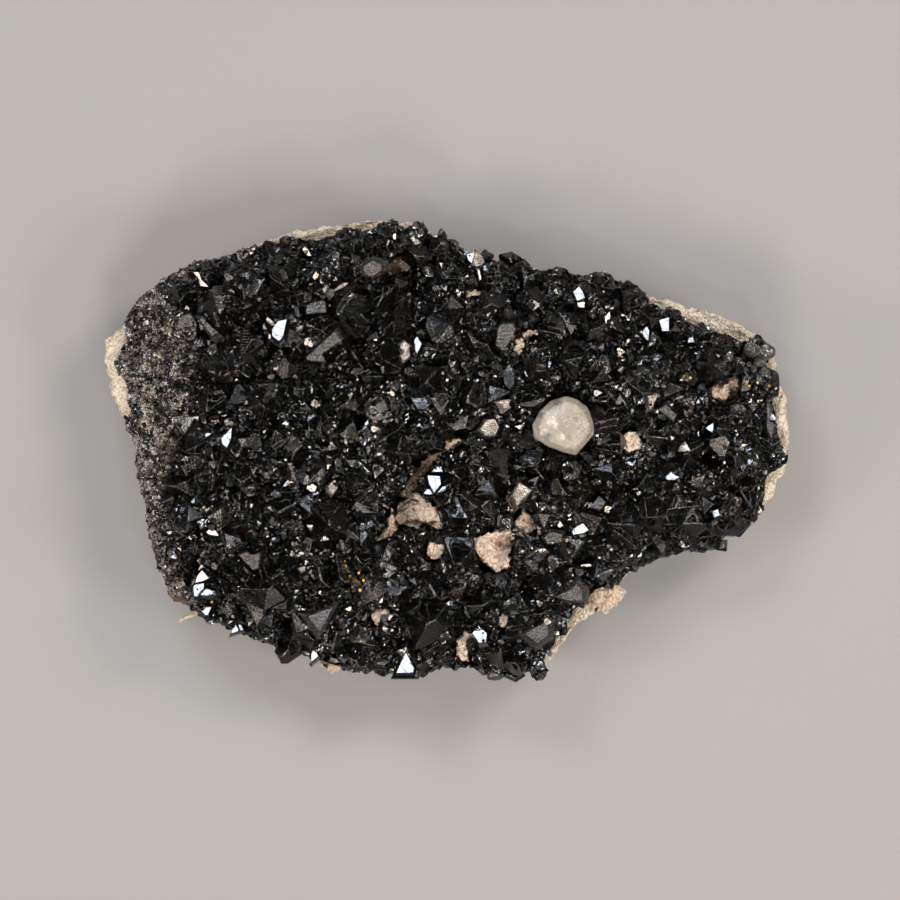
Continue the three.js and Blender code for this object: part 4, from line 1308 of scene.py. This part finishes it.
class SPECIMEN_OT_lit_crystals(bpy.types.Operator):
    """Build the crystals whose broad faces mirror the lamps"""

    bl_idname = "specimen.lit_crystals"
    bl_label = "Mirroring crystals"

    def execute(self, context):
        shapes = [self.crystal(*face) for face in LIT_FACES]
        count = len(shapes)
        sides = [len(starts) for _, _, starts, _ in shapes]
        lamps = np.array([lamp for lamp, _, _ in LIT_FACES])
        # Faces marked "pale" get the fine crust's pale dust colour: a coat, partly a painted cream glint.
        coated_glint = lamps == "pale"
        mesh = grown_together(growth.random, shapes, np.arange(count), np.tile(np.eye(3), (count, 1, 1)),
                              np.zeros((count, 3)), coated_glint.astype(float))
        frosted, coated_glint = (np.repeat(chosen, sides) for chosen in (np.isin(lamps, ("grey", "haze")), coated_glint))
        face, hue = (mesh.attributes[name].data for name in ("face", "hue"))
        values = 0.03 * values_of(face, "value", 1).ravel()
        values = np.where(frosted, 0.97 + values, values)
        face.foreach_set("value", np.where(coated_glint, 0.95, values))
        hue.foreach_set("value", np.where(coated_glint, 0.7, values_of(hue, "value", 1).ravel()))
        soft_edges(piece("mirroring_crystals", mesh, bpy.data.materials["black sphalerite"]))
        return {"FINISHED"}

    def crystal(self, lamp, proud, outline):
        """A crystal under a face that throws a lamp's light at the eye, with two wider rings below."""
        foot = self.foot(outline) + Vector((0, 0, (proud + PROUDER) * MM))
        toward = lamp_place("warm" if lamp == "pale" else lamp) - foot
        facing = (toward.normalized() + (EYE - foot).normalized()).normalized()
        bm = bmesh.new()
        rays = [seen_ray(*corner) for corner in outline]
        corners = [bm.verts.new(EYE + ray * ((foot - EYE).dot(facing) / ray.dot(facing))) for ray in rays]
        face = bm.faces.new(corners)
        reach = max((corner.co - foot).length for corner in corners)
        drops = (facing * -NECK[1] * min(reach, NECK_LIMIT), Vector((0, 0, -FOOT[1])))
        for widening, drop in zip((NECK[0], FOOT[0]), drops):
            lower = bmesh.ops.extrude_face_region(bm, geom=[face])["geom"]
            moved = [item for item in lower if isinstance(item, bmesh.types.BMVert)]
            bmesh.ops.translate(bm, verts=moved, vec=drop)
            centre = sum((vertex.co for vertex in moved), Vector()) / len(moved)
            for vertex in moved:
                vertex.co = centre + (vertex.co - centre) * widening
            face = next(item for item in lower if isinstance(item, bmesh.types.BMFace))
        worn_edges(bm, WORN_WIDTH)
        bmesh.ops.recalc_face_normals(bm, faces=bm.faces)
        growth.keep_free(foot - Vector((0, 0, 0.8 * MM)), KEPT_FREE * reach)
        return shape_arrays(bm)

    def foot(self, outline):
        """The middle of an outline on the crust, or at the height of the crust's nearest edge."""
        middle = np.mean(outline, axis=0)
        found = seen_on(growth.tree, *middle)
        if found is not None:
            return found
        rim = growth.tree.find_nearest(seen_at(*middle, LIT_EDGE_HEIGHT))[0]
        return seen_at(*middle, rim.z)


class SPECIMEN_OT_crystals(bpy.types.Operator):
    """Build the crystals of the crust, from the big ones down to the fine ones in the gaps"""

    bl_idname = "specimen.crystals"
    bl_label = "Crystals"

    def execute(self, context):
        look = context.scene.crust_look
        random = growth.random
        big = np.array([growth.top(right, down) for right, down, _ in BIG_CRYSTALS])
        upward = np.tile([0.0, 0.0, 1.0], (len(big), 1))
        width = np.array([width for _, _, width in BIG_CRYSTALS]) * SEEN
        spots = growth.settle(big, upward, 0.72 * width, 0.45)
        self.grow("big_crystals", *spots, growth.shapes(24, 3, 0.016, 10), 0.05, 12, True)

        for name, (count, sizes, finest, shapes, depth, tries) in COARSE_CRYSTALS.items():
            places, facing = growth.spots(count)
            radii = look.middling * random.uniform(*sizes, len(places))
            coarse = fineness(as_seen(places)) < random.uniform(0.0, finest, len(places))
            spots = growth.settle(places[coarse], facing[coarse], radii[coarse], 0.53)
            self.grow(name, *spots, growth.shapes(*shapes), depth, tries, True)

        growth.clear()
        grown = ["crust_ground", "mirroring_crystals", "big_crystals", *COARSE_CRYSTALS]
        for name, values in TINY_CRYSTALS.items():
            size, count, dusty, on_top, sizes, finer, closeness, shapes, depth = values
            places, facing = growth.spots(count, dusty)
            tree = tree_of(*(bpy.data.objects[earlier].data for earlier in grown))
            places, facing = growth.landed(tree, places, facing, on_top)
            radii = getattr(look, size) * random.uniform(*sizes, len(places))
            radii *= 1 - finer * fineness(as_seen(places))
            spots = growth.settle(places, facing, radii, closeness)
            self.grow(name, *spots, growth.shapes(shapes), depth)
            if name == "small_crystals":
                grown.append(name)
        return {"FINISHED"}

    def grow(self, name, places, facing, radii, shapes, depth, tries=0, rounded=False):
        """Sinks each crystal by a share of its radius, deeper at the rim, and joins them into one piece."""
        random = growth.random
        sunk = random.uniform(depth - DEPTH_SPREAD, depth + DEPTH_SPREAD, len(radii))
        sunk += (WORN_STEEP_DEPTH if rounded else STEEP_DEPTH) * (1 - facing[:, 2]).clip(0, 0.8)
        centres = places - facing * (sunk * radii)[:, None]
        if rounded:
            centres, inside = growth.drawn_in(centres, facing, radii)
            places, radii, centres = places[inside], radii[inside], centres[inside]
        kinds = random.integers(0, len(shapes), len(radii))
        dust = fineness(as_seen(places)) * random.uniform(0.6, 1.0, len(radii))
        frames = growth.turned_away(shapes, kinds, radii, centres, tries)
        mesh = grown_together(random, shapes, kinds, frames, centres, dust)
        made = piece(name, mesh, bpy.data.materials["black sphalerite"])
        if rounded:
            soft_edges(made)


class SPECIMEN_OT_calcite(bpy.types.Operator):
    """Build the rounded cream calcite crystal"""

    bl_idname = "specimen.calcite"
    bl_label = "Calcite"

    def execute(self, context):
        low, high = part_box("calcite_crystal")
        tall = high.z - low.z
        waist = low.z + 0.5 * tall
        middle = Vector(seen_at(*CALCITE_PLACE, waist))
        girdle = [seen_at(right, down, waist) - middle for right, down in CALCITE_OUTLINE]
        bm = bmesh.new()
        edges = []
        for share, height, slide in CALCITE_RINGS:
            lift = low.z + height * tall - waist
            ring = [bm.verts.new(middle + Vector((corner.x * share + slide[0] * MM,
                                                  corner.y * share + slide[1] * MM, lift)))
                    for corner in girdle]
            edges.append([bm.edges.new(ends) for ends in zip(ring, ring[1:] + ring[:1])])
        bmesh.ops.edgeloop_fill(bm, edges=edges[0])
        bmesh.ops.edgeloop_fill(bm, edges=edges[-1])
        for lower, upper in zip(edges, edges[1:]):
            bmesh.ops.bridge_loops(bm, edges=lower + upper)
        bmesh.ops.recalc_face_normals(bm, faces=bm.faces)
        mesh = evened(bm, 0.22 * MM, 3)
        roughened(mesh, [(4, 0.12), (0.9, 0.06)], 3)
        mesh.shade_smooth()
        corners = corners_of(mesh)
        seen = as_seen(corners)
        nothing = np.zeros(len(seen))
        etched_side = ((seen[:, 0] - 570) / 10 + (seen[:, 1] - 430) / 60).clip(0, 1)
        note(mesh, "clear", near_spots(seen, CLEAR_SPOTS, nothing))
        note(mesh, "milky", near_spots(seen, MILKY_SPOTS, nothing))
        note(mesh, "etched", near_spots(seen, PITTED_SPOTS, etched_side))
        # The band round the girdle where the bright rim is painted.
        note(mesh, "girdle", (1 - np.abs((corners[:, 2] - low.z) / tall - 0.71) / 0.13).clip(0, 1))
        finish = calcite_finish(context.scene.guest_look)
        piece("calcite", mesh, finish, ["calcite_crystal"])
        return {"FINISHED"}


class SPECIMEN_OT_grains(bpy.types.Operator):
    """Build the brassy specks and the clear grey grains"""

    bl_idname = "specimen.grains"
    bl_label = "Specks and grains"

    def execute(self, context):
        random = np.random.default_rng(SEED + 5)
        look = context.scene.guest_look
        shapes = [crystal_shape(random, HABITS[k % len(HABITS)]) for k in range(6)]
        places = np.array([growth.top(right, down) + Vector((0, 0, 1.7 * MM)) for right, down, _ in GOLD])
        radii = np.array([size for _, _, size in GOLD]) * SEEN * 0.7
        frames = turns(random, len(radii)) * radii[:, None, None]
        kinds = random.integers(0, len(shapes), len(radii))
        mesh = grown_together(random, shapes, kinds, frames, places, np.zeros(len(radii)))
        piece("brassy_specks", mesh, gold_finish(look))

        bm = bmesh.new()
        for right, down, size in GLASSY:
            place = growth.tree.find_nearest(growth.top(right, down))[0] + Vector((0, 0, 0.5 * MM))
            turn = Matrix.Rotation(random.uniform(0, math.pi), 4, "Z")
            stretch = Matrix.Diagonal((*random.uniform(0.8, 1.15, 3), 1.0))
            bmesh.ops.create_icosphere(bm, subdivisions=4, radius=0.5 * size * SEEN,
                                       matrix=Matrix.Translation(place) @ turn @ stretch)
        mesh = mesh_of(bm, "clear grains")
        roughened(mesh, [(1.5, 0.35), (0.6, 0.12)], 6)
        mesh.shade_smooth()
        piece("clear_grains", mesh, glassy_finish(look))
        return {"FINISHED"}


class SPECIMEN_OT_stage(bpy.types.Operator):
    """Build the floor, the lamps and the camera"""

    bl_idname = "specimen.stage"
    bl_label = "Stage"

    def execute(self, context):
        look = context.scene.stage_look
        bm = bmesh.new()
        bmesh.ops.create_grid(bm, x_segments=1, y_segments=1, size=FLOOR_HALF)
        floor = linked("floor", mesh_of(bm, "floor"))
        floor.data.materials.append(floor_finish(look))
        for name, (_, _, _, side, bright, colour) in LAMPS.items():
            lamp = bpy.data.lights.new(name, "AREA")
            lamp.shape = "SQUARE"
            lamp.size = side
            lamp.color = colour
            lamp.energy = bright * look.brightness * math.pi * side * side
            stand = linked(name, lamp)
            stand.location = lamp_place(name)
            stand.rotation_euler = (-stand.location).to_track_quat("-Z", "Y").to_euler()
        context.scene.world = self.room(look)
        camera = linked("camera", bpy.data.cameras.new("camera"))
        camera.location = EYE
        camera.data.lens = camera.data.sensor_width * (EYE_HEIGHT - SHARP_HEIGHT) / PICTURE_WIDTH
        context.scene.camera = camera
        context.scene.view_settings.view_transform = "Standard"
        return {"FINISHED"}

    def room(self, look):
        """A dim room, which the camera sees in the colour of the floor."""
        world = bpy.data.worlds.new("dim room")
        world.use_nodes = True
        nodes, links = world.node_tree.nodes, world.node_tree.links
        dim = next(node for node in nodes if node.type == "BACKGROUND")
        output = next(node for node in nodes if node.type == "OUTPUT_WORLD")
        backdrop = nodes.new("ShaderNodeBackground")
        for node, colour, strength in ((dim, (0.95, 0.97, 1.0), look.dimness), (backdrop, look.floor, 0.8)):
            node.inputs["Color"].default_value = (*colour, 1.0)
            node.inputs["Strength"].default_value = strength
        path = nodes.new("ShaderNodeLightPath")
        mix = nodes.new("ShaderNodeMixShader")
        sources = (path.outputs["Is Camera Ray"], dim.outputs[0], backdrop.outputs[0])
        for source, socket in zip(sources, mix.inputs):
            links.new(source, socket)
        links.new(mix.outputs[0], output.inputs[0])
        return world


class SPECIMEN_PT_panel(bpy.types.Panel):
    """Lists what the specimen is built from"""

    bl_idname = "SPECIMEN_PT_panel"
    bl_label = "Specimen"
    bl_space_type = "VIEW_3D"
    bl_region_type = "UI"
    bl_category = "Specimen"

    def draw(self, context):
        for look in LOOKS:
            box = self.layout.box()
            for name in LOOKS[look].__annotations__:
                box.prop(getattr(context.scene, look), name)
        for operator in OPERATORS:
            self.layout.operator(operator.bl_idname)


LOOKS = {"rock_look": RockLook, "crust_look": CrustLook, "guest_look": GuestLook, "stage_look": StageLook}
OPERATORS = [SPECIMEN_OT_rock, SPECIMEN_OT_crust, SPECIMEN_OT_lit_crystals, SPECIMEN_OT_crystals,
             SPECIMEN_OT_calcite, SPECIMEN_OT_grains, SPECIMEN_OT_stage]


def register():
    for made in [*LOOKS.values(), *OPERATORS, SPECIMEN_PT_panel]:
        bpy.utils.register_class(made)
    for name, look in LOOKS.items():
        setattr(bpy.types.Scene, name, PointerProperty(type=look))


def unregister():
    for name in LOOKS:
        delattr(bpy.types.Scene, name)
    for made in [SPECIMEN_PT_panel, *OPERATORS, *LOOKS.values()]:
        bpy.utils.unregister_class(made)


def main():
    register()
    for operator in OPERATORS:
        group, name = operator.bl_idname.split(".")
        getattr(getattr(bpy.ops, group), name)()


if __name__ == "__main__":
    main()
